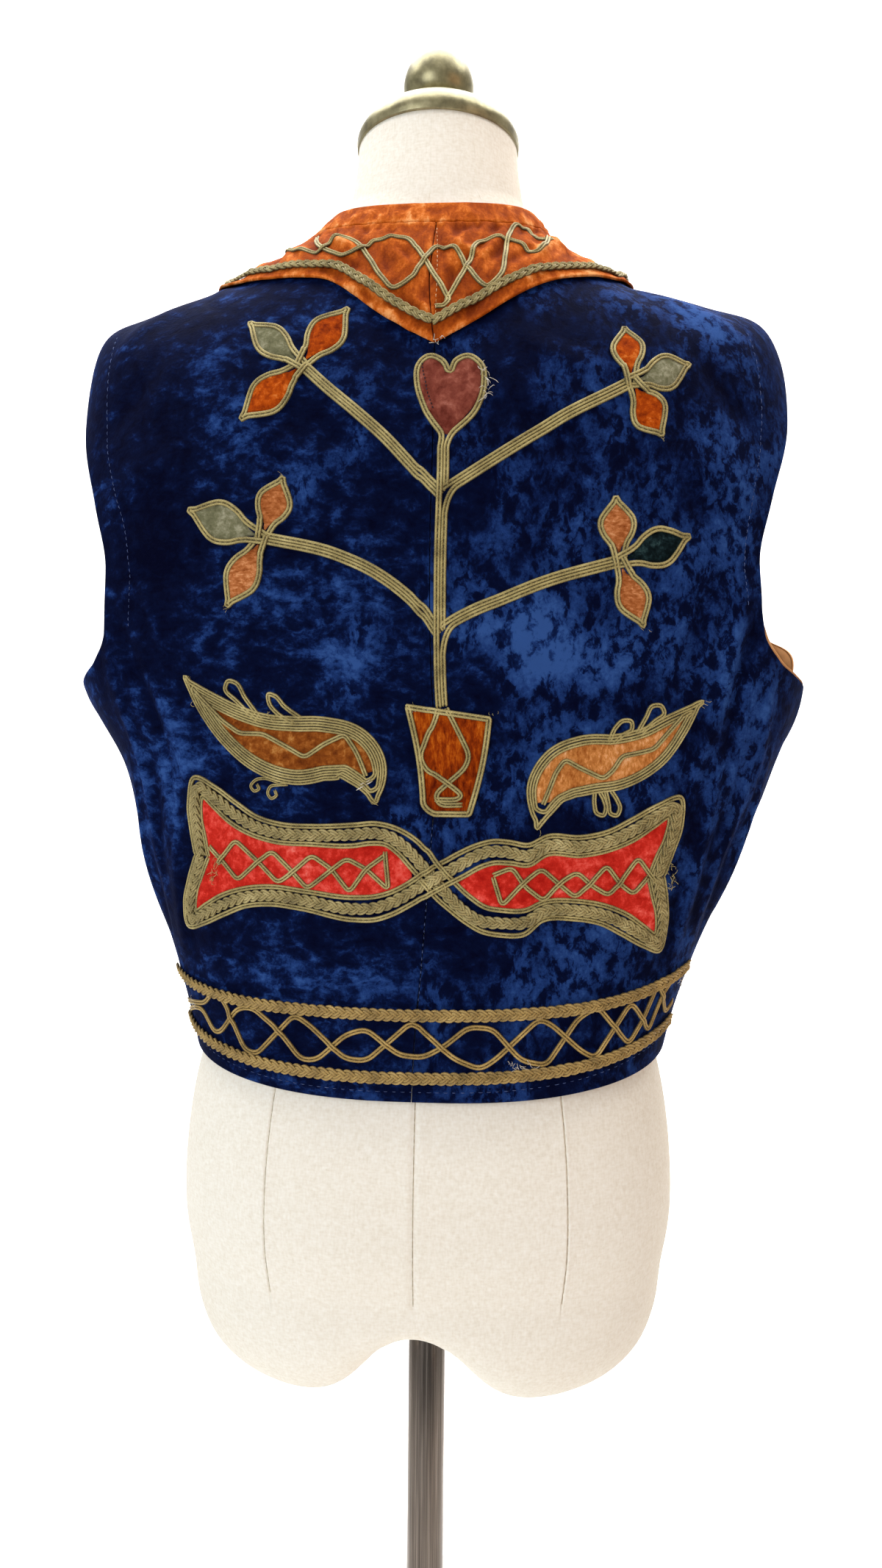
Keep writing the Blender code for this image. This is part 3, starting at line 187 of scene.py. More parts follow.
# Soft troughs (negative) and ridges of the velvet, in millimetres: from, to, bow, width and height.
creases = {
    "vest": [
        # under the left arm and down the left side
        (-196, 1205, -172, 1120, 5, 6.0, -3.4), (-207, 1196, -190, 1092, -4, 5.0, 2.2),
        (-180, 1180, -150, 1095, 6, 8.0, 2.4), (-186, 1130, -176, 1040, -3, 6.0, -2.8),
        (-168, 1100, -163, 1005, 4, 7.0, 2.6), (-196, 1070, -188, 990, 2, 6.0, -2.4),
        (-150, 1070, -148, 990, -3, 9.0, -1.8), (-214, 1120, -205, 1010, 3, 5.0, 2.2),
        # from the left shoulder towards the blade
        (-208, 1330, -150, 1392, 8, 9.0, 2.2), (-214, 1300, -160, 1352, -6, 8.0, -2.0),
        (-190, 1400, -112, 1412, 3, 7.0, -2.2), (-175, 1424, -120, 1398, -4, 7.0, 1.6),
        (-205, 1262, -140, 1292, 7, 12.0, 1.8), (-196, 1232, -130, 1236, -5, 9.0, -1.6),
        # across the middle
        (-62, 1318, -12, 1262, 4, 8.0, -1.4), (-120, 1332, -58, 1296, -5, 10.0, 1.5),
        (-60, 1196, 0, 1172, 5, 9.0, -1.3), (-36, 1262, -30, 1196, 4, 8.0, 1.2),
        (34, 1250, 92, 1206, -6, 10.0, 1.5), (30, 1190, 88, 1172, 3, 9.0, -1.4),
        (52, 1322, 98, 1286, 3, 9.0, -1.4), (60, 1368, 112, 1340, -3, 8.0, 1.4),
        # under the right arm and down the right side
        (206, 1212, 176, 1108, -6, 5.5, -3.6), (194, 1226, 158, 1122, 5, 6.0, 2.6),
        (184, 1240, 150, 1160, -4, 8.0, -2.2), (214, 1180, 194, 1072, 4, 5.0, 2.8),
        (188, 1112, 172, 1012, -4, 6.0, -3.0), (172, 1090, 160, 1000, 3, 7.0, 2.4),
        (204, 1080, 196, 1000, -2, 6.0, -2.6), (156, 1060, 150, 985, 3, 8.0, -1.8),
        (222, 1130, 214, 1030, -3, 5.0, 2.4), (180, 1150, 166, 1040, 5, 9.0, 1.8),
        # from the right shoulder
        (212, 1330, 158, 1388, -7, 9.0, 2.2), (216, 1296, 166, 1346, 5, 8.0, -2.2),
        (200, 1392, 128, 1404, -3, 7.0, -2.0), (206, 1262, 148, 1290, -6, 12.0, 2.0),
        (150, 1368, 118, 1398, 3, 8.0, 1.5),
        # above and below the hem band
        (-120, 1004, -60, 994, 3, 6.0, -1.3), (20, 1000, 110, 1006, -3, 7.0, -1.4),
        (-90, 930, -20, 926, 2, 5.0, 1.0), (10, 927, 96, 931, -2, 5.0, 1.1),
        # fine creases
        (196, 1190, 176, 1128, -3, 2.6, 1.1), (188, 1150, 170, 1080, 3, 2.6, -0.9),
        (178, 1138, 168, 1060, -2, 2.6, 1.2), (202, 1140, 186, 1060, 3, 2.6, 1.1),
        (168, 1168, 152, 1104, 2, 2.8, 1.0), (212, 1150, 200, 1050, -3, 2.8, -1.0),
        (160, 1120, 150, 1050, -2, 2.8, 0.9), (192, 1100, 182, 1020, 2, 2.6, 1.2),
        (180, 1225, 166, 1172, -3, 2.8, 1.0), (-188, 1190, -172, 1100, 3, 2.6, 1.1),
        (-200, 1150, -184, 1050, -2, 2.6, 1.2), (-176, 1150, -166, 1060, 2, 2.8, -1.0),
        (-206, 1180, -196, 1090, -3, 2.6, -1.1), (-160, 1130, -152, 1040, 3, 2.8, 0.8),
        (-184, 1240, -160, 1180, 3, 2.8, 0.9), (-30, 1200, 0, 1166, 3, 2.8, -0.8),
        (-52, 1240, -26, 1182, -4, 2.8, 0.8), (34, 1236, 70, 1196, 3, 2.8, 0.9),
        (-140, 1330, -100, 1300, 3, 2.8, 0.9), (-70, 1290, -34, 1300, 2, 2.8, 0.8),
        (60, 1250, 96, 1238, -3, 2.8, 0.9), (126, 1290, 150, 1240, 3, 2.8, 0.9),
        (150, 1300, 172, 1250, -3, 2.8, -0.9), (176, 1420, 130, 1400, 3, 2.8, 1.0),
        (196, 1350, 176, 1300, -3, 2.8, 1.0), (-192, 1350, -160, 1310, 3, 2.8, 1.0),
        (-150, 1400, -110, 1380, -3, 2.8, -0.8),
        # the fronts
        (250, 1240, 300, 1170, 6, 10.0, -2.6), (262, 1180, 330, 1090, -7, 11.0, 2.6),
        (270, 1110, 290, 990, 5, 9.0, -2.6), (300, 1060, 318, 960, -4, 9.0, 2.4),
        (240, 1090, 252, 980, 3, 8.0, -2.4), (340, 1150, 350, 1010, 4, 10.0, -2.0),
        (290, 1290, 340, 1230, -5, 11.0, 2.2), (300, 1340, 350, 1290, 5, 9.0, -1.8),
    ],
    "collar": [
        (-60, 1437, -34, 1425, 3, 3.2, 1.2), (-48, 1428, -30, 1412, -3, 3.0, -1.3),
        (-30, 1436, -22, 1416, 2, 3.0, 1.2), (-14, 1430, -2, 1416, 2, 2.8, -1.1),
        (18, 1436, 40, 1424, -3, 3.0, 1.2), (52, 1440, 44, 1416, 3, 3.0, -1.3),
        (64, 1432, 82, 1420, 3, 3.2, 1.2), (-88, 1434, -70, 1424, 2, 3.2, 1.1),
        (88, 1446, 104, 1428, -3, 3.2, 1.2), (-104, 1446, -96, 1424, 3, 3.2, -1.2),
        (2, 1390, 10, 1376, 2, 2.8, 1.0), (28, 1412, 22, 1394, -2, 2.8, -1.0),
        (-18, 1384, -6, 1372, 2, 3.0, 0.9), (38, 1390, 30, 1378, 2, 3.0, -0.9),
        (-40, 1402, -30, 1392, 2, 3.0, 0.9), (-40, 1440, -8, 1404, 3, 3.5, -1.0),
        (-22, 1446, 4, 1410, -3, 3.0, 0.9), (8, 1446, 20, 1408, 2, 3.0, -1.0),
        (30, 1444, 18, 1396, -3, 3.5, 0.9), (44, 1448, 24, 1404, 3, 3.0, -0.9),
        (60, 1444, 36, 1412, -3, 3.5, 0.9), (78, 1440, 52, 1414, 3, 3.5, -1.0),
        (96, 1440, 72, 1416, -2, 3.5, 0.9), (-60, 1446, -44, 1422, 2, 3.0, 0.8),
        (-78, 1446, -62, 1420, 3, 3.5, -0.9), (-96, 1442, -74, 1416, -3, 4.0, 0.9),
        (-112, 1436, -92, 1412, 2, 4.0, -0.9), (-12, 1398, 8, 1372, 2, 3.0, -0.8),
        (26, 1398, 16, 1374, -2, 3.0, -0.8), (-30, 1410, -14, 1388, -2, 3.0, 0.7),
        (112, 1434, 92, 1412, -2, 4.0, -0.9), (128, 1428, 112, 1410, 2, 4.0, 0.8),
        (48, 1402, 34, 1384, 2, 3.0, -0.7), (-128, 1430, -112, 1410, 3, 4.0, 0.9),
        (-60, 1414, -40, 1402, 2, 3.0, -0.7), (78, 1412, 60, 1398, 2, 3.0, 0.7),
        (-150, 1424, -138, 1406, 2, 5.0, -0.9), (150, 1422, 140, 1406, 2, 5.0, -0.9),
        *[(side * 215, 1400, side * 236, 1380, -4 * side, 6.0, 1.0) for side in (-1, 1)],
        *[(side * 240, 1372, side * 262, 1345, -4 * side, 6.0, -1.0) for side in (-1, 1)],
    ],
}

# The other front has the same folds, a little further round.
creases["vest"] += [(-4 - a, h, -3 - b, g, -bow, width, height)
                    for a, h, b, g, bow, width, height in creases["vest"] if min(a, b) > 235]
# Short puckers where the neck band is sewn to the collar: a trough below the seam and a ridge above it.
pucker = {"reach": 118, "spacing": 9.0, "bow": 1, "width": 2.8}
chance = np.random.default_rng(5)
for across in np.arange(-pucker["reach"], pucker["reach"] + 1, pucker["spacing"]):
    across, lean = across + chance.uniform(-3, 3), chance.uniform(-5, 5)
    for start, level, way, least, low, high in ((across, 1450.5, -1, 5, -1.3, -0.5),
                                                (across + 4, 1453, 1, 6, 0.2, 0.9)):
        end = level + way * chance.uniform(least, 13)
        creases["collar"].append((start, level, across + lean, end, pucker["bow"], pucker["width"],
                                  chance.uniform(low, high)))
# The collar has its own creases and, under them, the vest's.
collarRelief = 1.8
creases["collar"] = creases["vest"] + [(*place, height * collarRelief) for *place,
                                       height in creases["collar"]]


def creaseLift(flat, kind):
    flat = np.asarray(flat, float)
    lift = np.zeros(flat.shape[:-1])
    for fromX, fromH, toX, toH, bow, width, height in creases[kind]:
        start, run = np.array([fromX, fromH]), np.array([toX - fromX, toH - fromH], float)
        length = np.linalg.norm(run)
        near = np.linalg.norm(flat - start - run / 2, axis=-1) < length / 2 + width * 4   # it fades out
        place = flat[near] - start
        t = np.clip(place @ run / length**2, 0, 1)
        sideways = np.array([-run[1], run[0]]) / length * bow
        away = place - t[..., None] * run - np.sin(math.pi * t)[..., None] * sideways
        distance = np.linalg.norm(away, axis=-1)
        lift[near] += height * (0.25 + 0.75 * np.sin(math.pi * t)) * np.exp(-(distance / width) ** 2)
    return lift / 1000


# How thick each layer is, and how far the collar's underside lies from the vest's surface.
layers = {"cloth": 0.0022, "collarSeat": 0.0014, "collarThickness": 0.0018, "lining": 0.0010}
layers["collarTop"] = layers["collarSeat"] + layers["collarThickness"]


# Points on the creased velvet, or on the collar that lies over it, and the smooth normals there.
def onCloth(flat, kind="vest"):
    points, normals = onVest(flat)
    lift = creaseLift(flat, kind)
    if kind == "collar":
        lift = lift + layers["collarTop"]
    return points + normals * lift[..., None], normals


print("surface ready")


# ---- materials
def toLinear(hexColour):
    channels = [int(hexColour[i:i + 2], 16) / 255 for i in (1, 3, 5)]
    return (*[c / 12.92 if c <= 0.04045 else ((c + 0.055) / 1.055) ** 2.4 for c in channels], 1.0)


# Adds a node. Settings are its own values or its inputs'. Links join nodes, or their outputs, to inputs.
def addNode(tree, kind, settings=None, links=None):
    node = tree.nodes.new("ShaderNode" + kind)
    for key, value in (settings or {}).items():
        if key == "stops":
            ramp = node.color_ramp
            while len(ramp.elements) < len(value):
                ramp.elements.new(0.5)
            for element, (place, colour) in zip(ramp.elements, value):
                element.position, element.color = place, toLinear(colour)
        elif isinstance(key, int) or key in node.inputs:
            node.inputs[key].default_value = value
        else:
            setattr(node, key, value)
    for key, source in (links or {}).items():
        tree.links.new(source.outputs[0] if isinstance(source, bpy.types.Node) else source,
                       node.inputs[key])
    return node


def newMaterial(name):
    material = bpy.data.materials.new(name)
    material.use_nodes = True
    tree = material.node_tree
    tree.nodes.clear()
    return material, tree


# Ends a material: its relief where it has a height, its shader and its output.
def endMaterial(material, settings, links, height=None, strength=0.0, distance=0.0):
    tree = material.node_tree
    if height:
        relief = addNode(tree, "Bump", {"Strength": strength, "Distance": distance}, {"Height": height})
        links = {**links, "Normal": relief}
    shader = addNode(tree, "BsdfPrincipled", settings, links)
    addNode(tree, "OutputMaterial", {}, {0: shader})
    return material


# Crushed velvet: cotton pile pressed flat in all directions while damp. It shows as smudged bright and
# dark patches with sharp creases between them, a soft bloom at the edges and no gloss.
def crushedVelvet(name, colours, patchMm, sheenTint, sheen, streak=(1, 1, 1), turned=None, bump=0.5,
                  crushed=False):
    napMm, contrast = 0.9, (0.29, 0.50, 0.585, 0.69, 0.82)
    material, tree = newMaterial(name)
    coords = addNode(tree, "TexCoord").outputs["Object"]

    def crushPattern(scale, rotation=(0, 0, 0), spots=0.0, level=0.0):
        place = addNode(tree, "Mapping", {"Scale": scale, "Rotation": rotation}, {0: coords})
        warp = addNode(tree, "TexNoise", {"Scale": 420 / patchMm, "Detail": 3.0, "Roughness": 0.6},
                       {"Vector": place})
        shift = addNode(tree, "VectorMath", {"operation": "SUBTRACT", 1: (0.5, 0.5, 0.5)},
                        {0: warp.outputs["Color"]})
        reach = addNode(tree, "VectorMath", {"operation": "SCALE", "Scale": patchMm / 1000 * 1.5},
                        {0: shift})
        moved = addNode(tree, "VectorMath", {"operation": "ADD"}, {0: place, 1: reach})
        patches = addNode(tree, "TexNoise", {"Scale": 1000 / patchMm, "Detail": 7.0, "Roughness": 0.66},
                          {"Vector": moved})
        folds = addNode(tree, "TexNoise", {"noise_type": "RIDGED_MULTIFRACTAL", "Scale": 560 / patchMm,
                                           "Detail": 3.0, "Roughness": 0.5, "Lacunarity": 2.2,
                                           "Gain": 1.6, "Offset": 0.85}, {"Vector": moved})
        pattern = addNode(tree, "Math", {"operation": "MULTIPLY_ADD", 1: -0.07}, {0: folds, 2: patches})
        if spots:
            dark = addNode(tree, "MapRange", {"interpolation_type": "SMOOTHSTEP", "From Min": 0.52,
                                              "From Max": 0.40, "To Max": -spots}, {0: patches})
            flat = addNode(tree, "Math", {"operation": "MULTIPLY_ADD", 1: 0.55, 2: level}, {0: pattern})
            pattern = addNode(tree, "Math", {"operation": "ADD"}, {0: flat, 1: dark})
        return pattern

    broad = addNode(tree, "TexNoise", {"Scale": 200 / patchMm, "Detail": 2.0}, {"Vector": coords})
    mixed = crushPattern(streak)
    if turned:
        parts = addNode(tree, "SeparateXYZ", {}, {0: coords})
        wander = addNode(tree, "Math", {"operation": "MULTIPLY_ADD", 1: 0.5, 2: -0.25}, {0: broad})
        where = addNode(tree, "Math", {"operation": "ADD"}, {0: parts, 1: wander})
        share = addNode(tree, "MapRange", {"From Min": -0.03, "From Max": 0.05}, {0: where})
        mixed = addNode(tree, "Mix", {"data_type": "FLOAT"}, {0: share, 2: mixed, 3: crushPattern(*turned)})
    broadShare = addNode(tree, "Math", {"operation": "MULTIPLY_ADD", 1: 0.5, 2: -0.2}, {0: broad})
    crush = addNode(tree, "Math", {"operation": "ADD"}, {0: mixed, 1: broadShare})
    # The vest's and collar's pieces carry painted shading in a point attribute: lighter on fold ridges,
    # darker in troughs, a painted highlight along the collar's edges, with the pile patches.
    if crushed:
        lean = addNode(tree, "Attribute", {"attribute_name": "crush"})
        crush = addNode(tree, "Math", {"operation": "ADD"}, {0: crush, 1: lean.outputs["Fac"]})
    nap = addNode(tree, "TexNoise", {"Scale": 1000 / napMm * 0.5, "Detail": 3.0, "Roughness": 0.7},
                  {"Vector": coords})
    napShare = addNode(tree, "Math", {"operation": "MULTIPLY_ADD", 1: 0.22, 2: -0.11}, {0: nap})
    tone = addNode(tree, "Math", {"operation": "ADD"}, {0: crush, 1: napShare})
    colour = addNode(tree, "ValToRGB", {"stops": list(zip(contrast, colours))}, {0: tone})
    height = addNode(tree, "Math", {"operation": "MULTIPLY_ADD", 1: 0.25}, {0: nap, 2: crush})
    settings = {"Roughness": 0.85, "Specular IOR Level": 0.04, "IOR": 1.5, "Sheen Weight": sheen,
                "Sheen Roughness": 0.3, "Sheen Tint": toLinear(sheenTint)}
    return endMaterial(material, settings, {"Base Color": colour}, height, bump, 0.0016)


# Soutache: two cores bound side by side by fine rayon yarns in a herringbone. It shows as two round
# ribs with slanting yarns and a silky dull gold; painted shade darkens its groove, which holds the dark
# sewing, and its edges.
def boundBraid(name, yarnsAndShade, yarnMm=1.5, dashMm=3.4, grooveEnd=0.30, sewingAndShade=(0.1, 0.6)):
    material, tree = newMaterial(name)
    coords = addNode(tree, "UVMap", {"uv_map": "length"})
    parts = addNode(tree, "SeparateXYZ", {}, {0: coords})
    side = addNode(tree, "Math", {"operation": "ABSOLUTE"}, {0: parts.outputs[1]})
    slant = addNode(tree, "Math", {"operation": "MULTIPLY_ADD", 1: 1.5}, {0: side, 2: parts})
    turns = addNode(tree, "Math", {"operation": "MULTIPLY", 1: 2 * math.pi / yarnMm}, {0: slant})
    yarn = addNode(tree, "Math", {"operation": "SINE"}, {0: turns})
    # Painted shade along both outer edges, where the braid meets the cloth and its neighbours.
    edge = addNode(tree, "MapRange", {"From Min": 0.72, "From Max": 1.0, "To Min": 1.0, "To Max": 0.12},
                   {0: side})
    place = addNode(tree, "TexCoord").outputs["Object"]
    wear = addNode(tree, "TexNoise", {"Scale": 90.0, "Detail": 4.0, "Roughness": 0.6}, {"Vector": place})
    fuzz = addNode(tree, "TexNoise", {"Scale": 1400.0, "Detail": 2.0}, {"Vector": place})
    tone = addNode(tree, "Math", {"operation": "MULTIPLY_ADD", 1: 0.07}, {0: yarn, 2: wear})
    blend = addNode(tree, "Math", {"operation": "MULTIPLY_ADD", 1: 0.24, 2: -0.12}, {0: fuzz})
    total = addNode(tree, "Math", {"operation": "ADD"}, {0: tone, 1: blend})
    colour = addNode(tree, "ValToRGB",
                     {"stops": [(0.25, yarnsAndShade[0]), (0.45, yarnsAndShade[1]), (0.66, yarnsAndShade[2]), (0.85, yarnsAndShade[3])]},
                     {0: total})
    # Painted shade in the groove between the ribs; in it the sewing thread shows as darker dashes.
    groove = addNode(tree, "MapRange",
                     {"From Min": 0.06, "From Max": grooveEnd, "To Min": 0.0, "To Max": 1.0}, {0: side})
    dash = addNode(tree, "Math", {"operation": "MULTIPLY", 1: 2 * math.pi / dashMm}, {0: parts})
    dashes = addNode(tree, "Math", {"operation": "SINE"}, {0: dash})
    dashesAndShade = addNode(tree, "MapRange",
                   {"From Min": 0.0, "From Max": 0.5, "To Min": sewingAndShade[0], "To Max": sewingAndShade[1]},
                   {0: dashes})
    shade = addNode(tree, "Math", {"operation": "MAXIMUM"}, {0: groove, 1: dashesAndShade})
    lit = addNode(tree, "Math", {"operation": "MULTIPLY"}, {0: shade, 1: edge})
    # The fifth colour is dark: painted shade in the groove and at the edges, and the sewing thread's dashes.
    sewnAndShaded = addNode(tree, "Mix", {"data_type": "RGBA", 6: toLinear(yarnsAndShade[4])}, {0: lit, 7: colour})
    height = addNode(tree, "Math", {"operation": "MULTIPLY_ADD", 1: 0.5}, {0: fuzz, 2: yarn})
    settings = {"Roughness": 0.55, "Specular IOR Level": 0.35, "IOR": 1.5, "Sheen Weight": 0.15,
                "Sheen Roughness": 0.4, "Sheen Tint": toLinear("#e8dca8")}
    return endMaterial(material, settings, {"Base Color": sewnAndShaded.outputs[2]}, height, 0.3, 0.00025)


# Linen: flax in plain weave, stretched over the form. It shows as a matt cream with a faint speckle from
# its threads and faint broad stains. The real threads are 0.6 mm and are drawn coarser to show.
def wovenLinen(name, threadMm=1.3):
    material, tree = newMaterial(name)
    coords = addNode(tree, "TexCoord").outputs["Object"]
    threads = []
    for stretch in ((1000 / threadMm, 1000 / threadMm, 260), (300, 300, 1000 / threadMm)):
        place = addNode(tree, "Mapping", {"Scale": stretch}, {0: coords})
        threads.append(addNode(tree, "TexNoise", {"Scale": 1.0, "Detail": 1.0}, {"Vector": place}))
    weave = addNode(tree, "Math", {"operation": "ADD"}, {0: threads[0], 1: threads[1]})
    stain = addNode(tree, "TexNoise", {"Scale": 7.0, "Detail": 3.0}, {"Vector": coords})
    tone = addNode(tree, "Math", {"operation": "MULTIPLY_ADD", 1: 0.5}, {0: stain, 2: weave})
    share = addNode(tree, "MapRange", {"From Min": 0.8, "From Max": 1.7}, {0: tone})
    colour = addNode(tree, "ValToRGB", {"stops": [(0.0, "#e6ddca"), (0.5, "#efe8d8"), (1.0, "#f6f1e4")]},
                     {0: share})
    settings = {"Roughness": 0.9, "Specular IOR Level": 0.2, "IOR": 1.5}
    return endMaterial(material, settings, {"Base Color": colour}, weave, 0.08, 0.0004)


# Cotton: plain woven lining, soft and matt, with a faint crosswise thread.
def plainCotton(name, colours, threadMm=0.9):
    material, tree = newMaterial(name)
    coords = addNode(tree, "TexCoord").outputs["Object"]
    threads = addNode(tree, "TexNoise", {"Scale": 1000 / threadMm, "Detail": 2.0}, {"Vector": coords})
    patches = addNode(tree, "TexNoise", {"Scale": 30.0, "Detail": 4.0}, {"Vector": coords})
    colour = addNode(tree, "ValToRGB", {"stops": list(zip((0.35, 0.65), colours))}, {0: patches})
    settings = {"Roughness": 0.88, "Specular IOR Level": 0.2, "IOR": 1.5}
    return endMaterial(material, settings, {"Base Color": colour}, threads, 0.3, 0.0004)


# Bronze paint on a turned cap: semi-gloss olive, a little mottled and rubbed.
def bronzePaint(name):
    material, tree = newMaterial(name)
    coords = addNode(tree, "TexCoord").outputs["Object"]
    mottle = addNode(tree, "TexNoise", {"Scale": 120.0, "Detail": 5.0, "Roughness": 0.6},
                     {"Vector": coords})
    colour = addNode(tree, "ValToRGB", {"stops": [(0.3, "#6f684b"), (0.55, "#928a65"), (0.8, "#b3aa85")]},
                     {0: mottle})
    rough = addNode(tree, "MapRange", {"To Min": 0.26, "To Max": 0.44}, {0: mottle})
    settings = {"Metallic": 0.55, "IOR": 1.5}
    return endMaterial(material, settings, {"Base Color": colour, "Roughness": rough}, mottle, 0.08, 0.0004)


# Steel tube and plate, brushed along the pole with coarse grit and darkened: long fine scratches.
def brushedSteel(name):
    material, tree = newMaterial(name)
    coords = addNode(tree, "TexCoord").outputs["Object"]
    stretch = addNode(tree, "Mapping", {"Scale": (900, 900, 9)}, {0: coords})
    grit = addNode(tree, "TexNoise", {"Scale": 1.0, "Detail": 3.0, "Roughness": 0.6}, {"Vector": stretch})
    colour = addNode(tree, "ValToRGB", {"stops": [(0.3, "#564e47"), (0.55, "#786e65"), (0.8, "#a59b90")]},
                     {0: grit})
    rough = addNode(tree, "MapRange", {"To Min": 0.14, "To Max": 0.3}, {0: grit})
    settings = {"Metallic": 1.0}
    return endMaterial(material, settings, {"Base Color": colour, "Roughness": rough}, grit, 0.12, 0.0002)


# Spun thread: matt, one colour with a slight unevenness along it.
def spunThread(name, colours):
    material, tree = newMaterial(name)
    coords = addNode(tree, "TexCoord").outputs["Object"]
    uneven = addNode(tree, "TexNoise", {"Scale": 260.0, "Detail": 2.0}, {"Vector": coords})
    colour = addNode(tree, "ValToRGB", {"stops": list(zip((0.35, 0.65), colours))}, {0: uneven})
    settings = {"Roughness": 0.75, "Specular IOR Level": 0.25, "IOR": 1.5}
    return endMaterial(material, settings, {"Base Color": colour})


# Five colours from dark to light, size of the crushed patches in mm, tint and weight of the sheen, the rest.
velvets = {
    "navy": (("#00021a", "#020a29", "#07173f", "#193368", "#2c4c86"), 8.5, "#2f5ccc", 0.11,
        {"streak": (0.75, 1.0, 1.15),
         "turned": ((1.1, 1.0, 0.75), (0, 0.4, 0), 0.15, 0.27), "crushed": True}),
    "orange": (("#6e2806", "#94400c", "#ac5113", "#c66a28", "#e09a5c"), 12.0, "#ffb070", 0.07,
        {"streak": (1.6, 1.0, 0.8), "bump": 0.8, "crushed": True}),
    "leafOrange": (("#6e2004", "#a23f08", "#b84e0c", "#d0702a", "#e2975a"), 4.5, "#ffb070", 0.1, {}),
    "salmon": (("#83401a", "#a96233", "#bd7545", "#d1915f", "#e2b38a"), 3.5, "#ffd0a8", 0.12,
        {"streak": (1.0, 1.0, 2.2)}),
    "greyGreen": (("#55543c", "#716f52", "#838065", "#9a977b", "#b4b199"), 4.0, "#e8e4c8", 0.12, {}),
    "darkGreen": (("#020709", "#091517", "#122124", "#263a3b", "#46605e"), 4.5, "#9ab8b4", 0.1, {}),
    "brown": (("#5e271d", "#7c3d30", "#8a4a3b", "#9b5b4b", "#b47a69"), 6.0, "#e0b0a0", 0.1, {}),
    "rust": (("#551402", "#8c3306", "#a54709", "#bf6116", "#da8b3a"), 5.0, "#ffb060", 0.1,
        {"streak": (2.2, 2.2, 0.6)}),
    "coral": (("#a5170f", "#c3291d", "#d63a2e", "#e45347", "#ef8376"), 5.0, "#ffb0a8", 0.1, {}),
    "tawny": (("#5c290b", "#824315", "#95541f", "#b07437", "#cc9a5c"), 4.5, "#f0c088", 0.1, {}),
    "apricot": (("#96501f", "#c07a3c", "#d38d50", "#e2a873", "#f0ca9e"), 4.0, "#ffd8a8", 0.12,
        {"streak": (2.0, 2.0, 1.0)}),
}
# The plaited cords' groove is darkened evenly: painted shade between the strands.
cordYarns = {"yarnMm": 1.1, "grooveEnd": 0.14, "sewingAndShade": (0.45, 0.5)}
threads = {
    "collarThread": ("#c98a4e", "#f0c396"), "blueThread": ("#33426e", "#566591"),
    "darkThread": ("#15131c", "#35303a"), "braidEnd": ("#8d7d4c", "#c8b77c"),
    "brownThread": ("#a99b82", "#c9bca2"), "cottonFluff": ("#b6ab94", "#e4ddcf"),
}
finishes = {
    # Each braid's fifth colour is the dark of its painted shade at edges and groove, and of its sewing
    # thread.
    "braid": boundBraid("boundGoldBraid", ("#786a3e", "#9f8f58", "#baa96d", "#d8ca92", "#2e2614")),
    "cord": boundBraid("plaitedGoldCord", ("#6f613a", "#978754", "#b3a16a", "#d4c58c", "#2e2614"),
                       **cordYarns),
    "hemCord": boundBraid("plaitedYellowCord", ("#735e2e", "#9d8048", "#b99a59", "#d9bd7e", "#3a2c12"),
                          **cordYarns),
    "hemBraid": boundBraid("boundYellowBraid", ("#7a6430", "#a5874a", "#bf9f5b", "#dcc080", "#3a2c12")),
    "linen": wovenLinen("wovenLinen"),
    "tan": plainCotton("tanCotton", ("#d08a4c", "#eab27c")),
    "bronze": bronzePaint("bronzePaint"),
    "steel": brushedSteel("brushedSteel"),
}
for name, (colours, patchMm, tint, sheen, more) in velvets.items():
    fullName = name + ("CrushedVelvet" if "crushed" in more else "Velvet")
    finishes[name] = crushedVelvet(fullName, colours, patchMm, tint, sheen, **more)
finishes.update({name: spunThread(name, colours) for name, colours in threads.items()})
print("materials ready")


# ---- meshes
# A piece of smooth-shaded mesh. lengths are places along and across a braid; the last argument is how light
# the velvet is drawn at each point: its pile patches, with painted light and shade on folds and edges.
def addPiece(name, points, faces, finish, replaced=(), lengths=None, pileAndPaintedShading=None):
    mesh = bpy.data.meshes.new(name)
    faces = [np.asarray(group, int) for group in (faces if isinstance(faces, list) else [faces])]
    used, order = np.unique(np.concatenate([group.ravel() for group in faces]), return_inverse=True)
    points = np.asarray(points, float)[used]
    sizes = np.concatenate([np.full(len(group), group.shape[1]) for group in faces])
    mesh.vertices.add(len(points))
    mesh.vertices.foreach_set("co", points.ravel())
    mesh.loops.add(len(order))
    mesh.loops.foreach_set("vertex_index", order.astype(np.int32))
    mesh.polygons.add(len(sizes))
    mesh.polygons.foreach_set("loop_start", np.concatenate([[0], np.cumsum(sizes)[:-1]]).astype(np.int32))
    mesh.polygons.foreach_set("use_smooth", np.ones(len(sizes), bool))
    mesh.update(calc_edges=True)
    if lengths is not None:
        layer = mesh.uv_layers.new(name="length")
        layer.data.foreach_set("uv", np.asarray(lengths, np.float32)[used][order].ravel())
    if pileAndPaintedShading is not None:
        layer = mesh.attributes.new("crush", "FLOAT", "POINT")
        layer.data.foreach_set("value", np.asarray(pileAndPaintedShading, np.float32)[used])
    mesh.validate()
    mesh.materials.append(finish)
    piece = bpy.data.objects.new(name, mesh)
    bpy.context.scene.collection.objects.link(piece)
    if replaced:
        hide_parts(*replaced)
    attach(piece, "root")
    return piece


# The numbers of a grid's points, from a first one.
def numbered(rows, columns, start=0):
    return np.arange(start, start + rows * columns).reshape(rows, columns)


# Quads of a grid of numbered points; a wrapped one closes on itself.
def gridQuads(index, wrapRows=False, wrapColumns=False):
    if wrapRows:
        index = np.vstack([index, index[:1]])
    if wrapColumns:
        index = np.hstack([index, index[:, :1]])
    return np.stack([index[:-1, :-1], index[:-1, 1:], index[1:, 1:], index[1:, :-1]], axis=-1).reshape(-1,
                                                                                                       4)
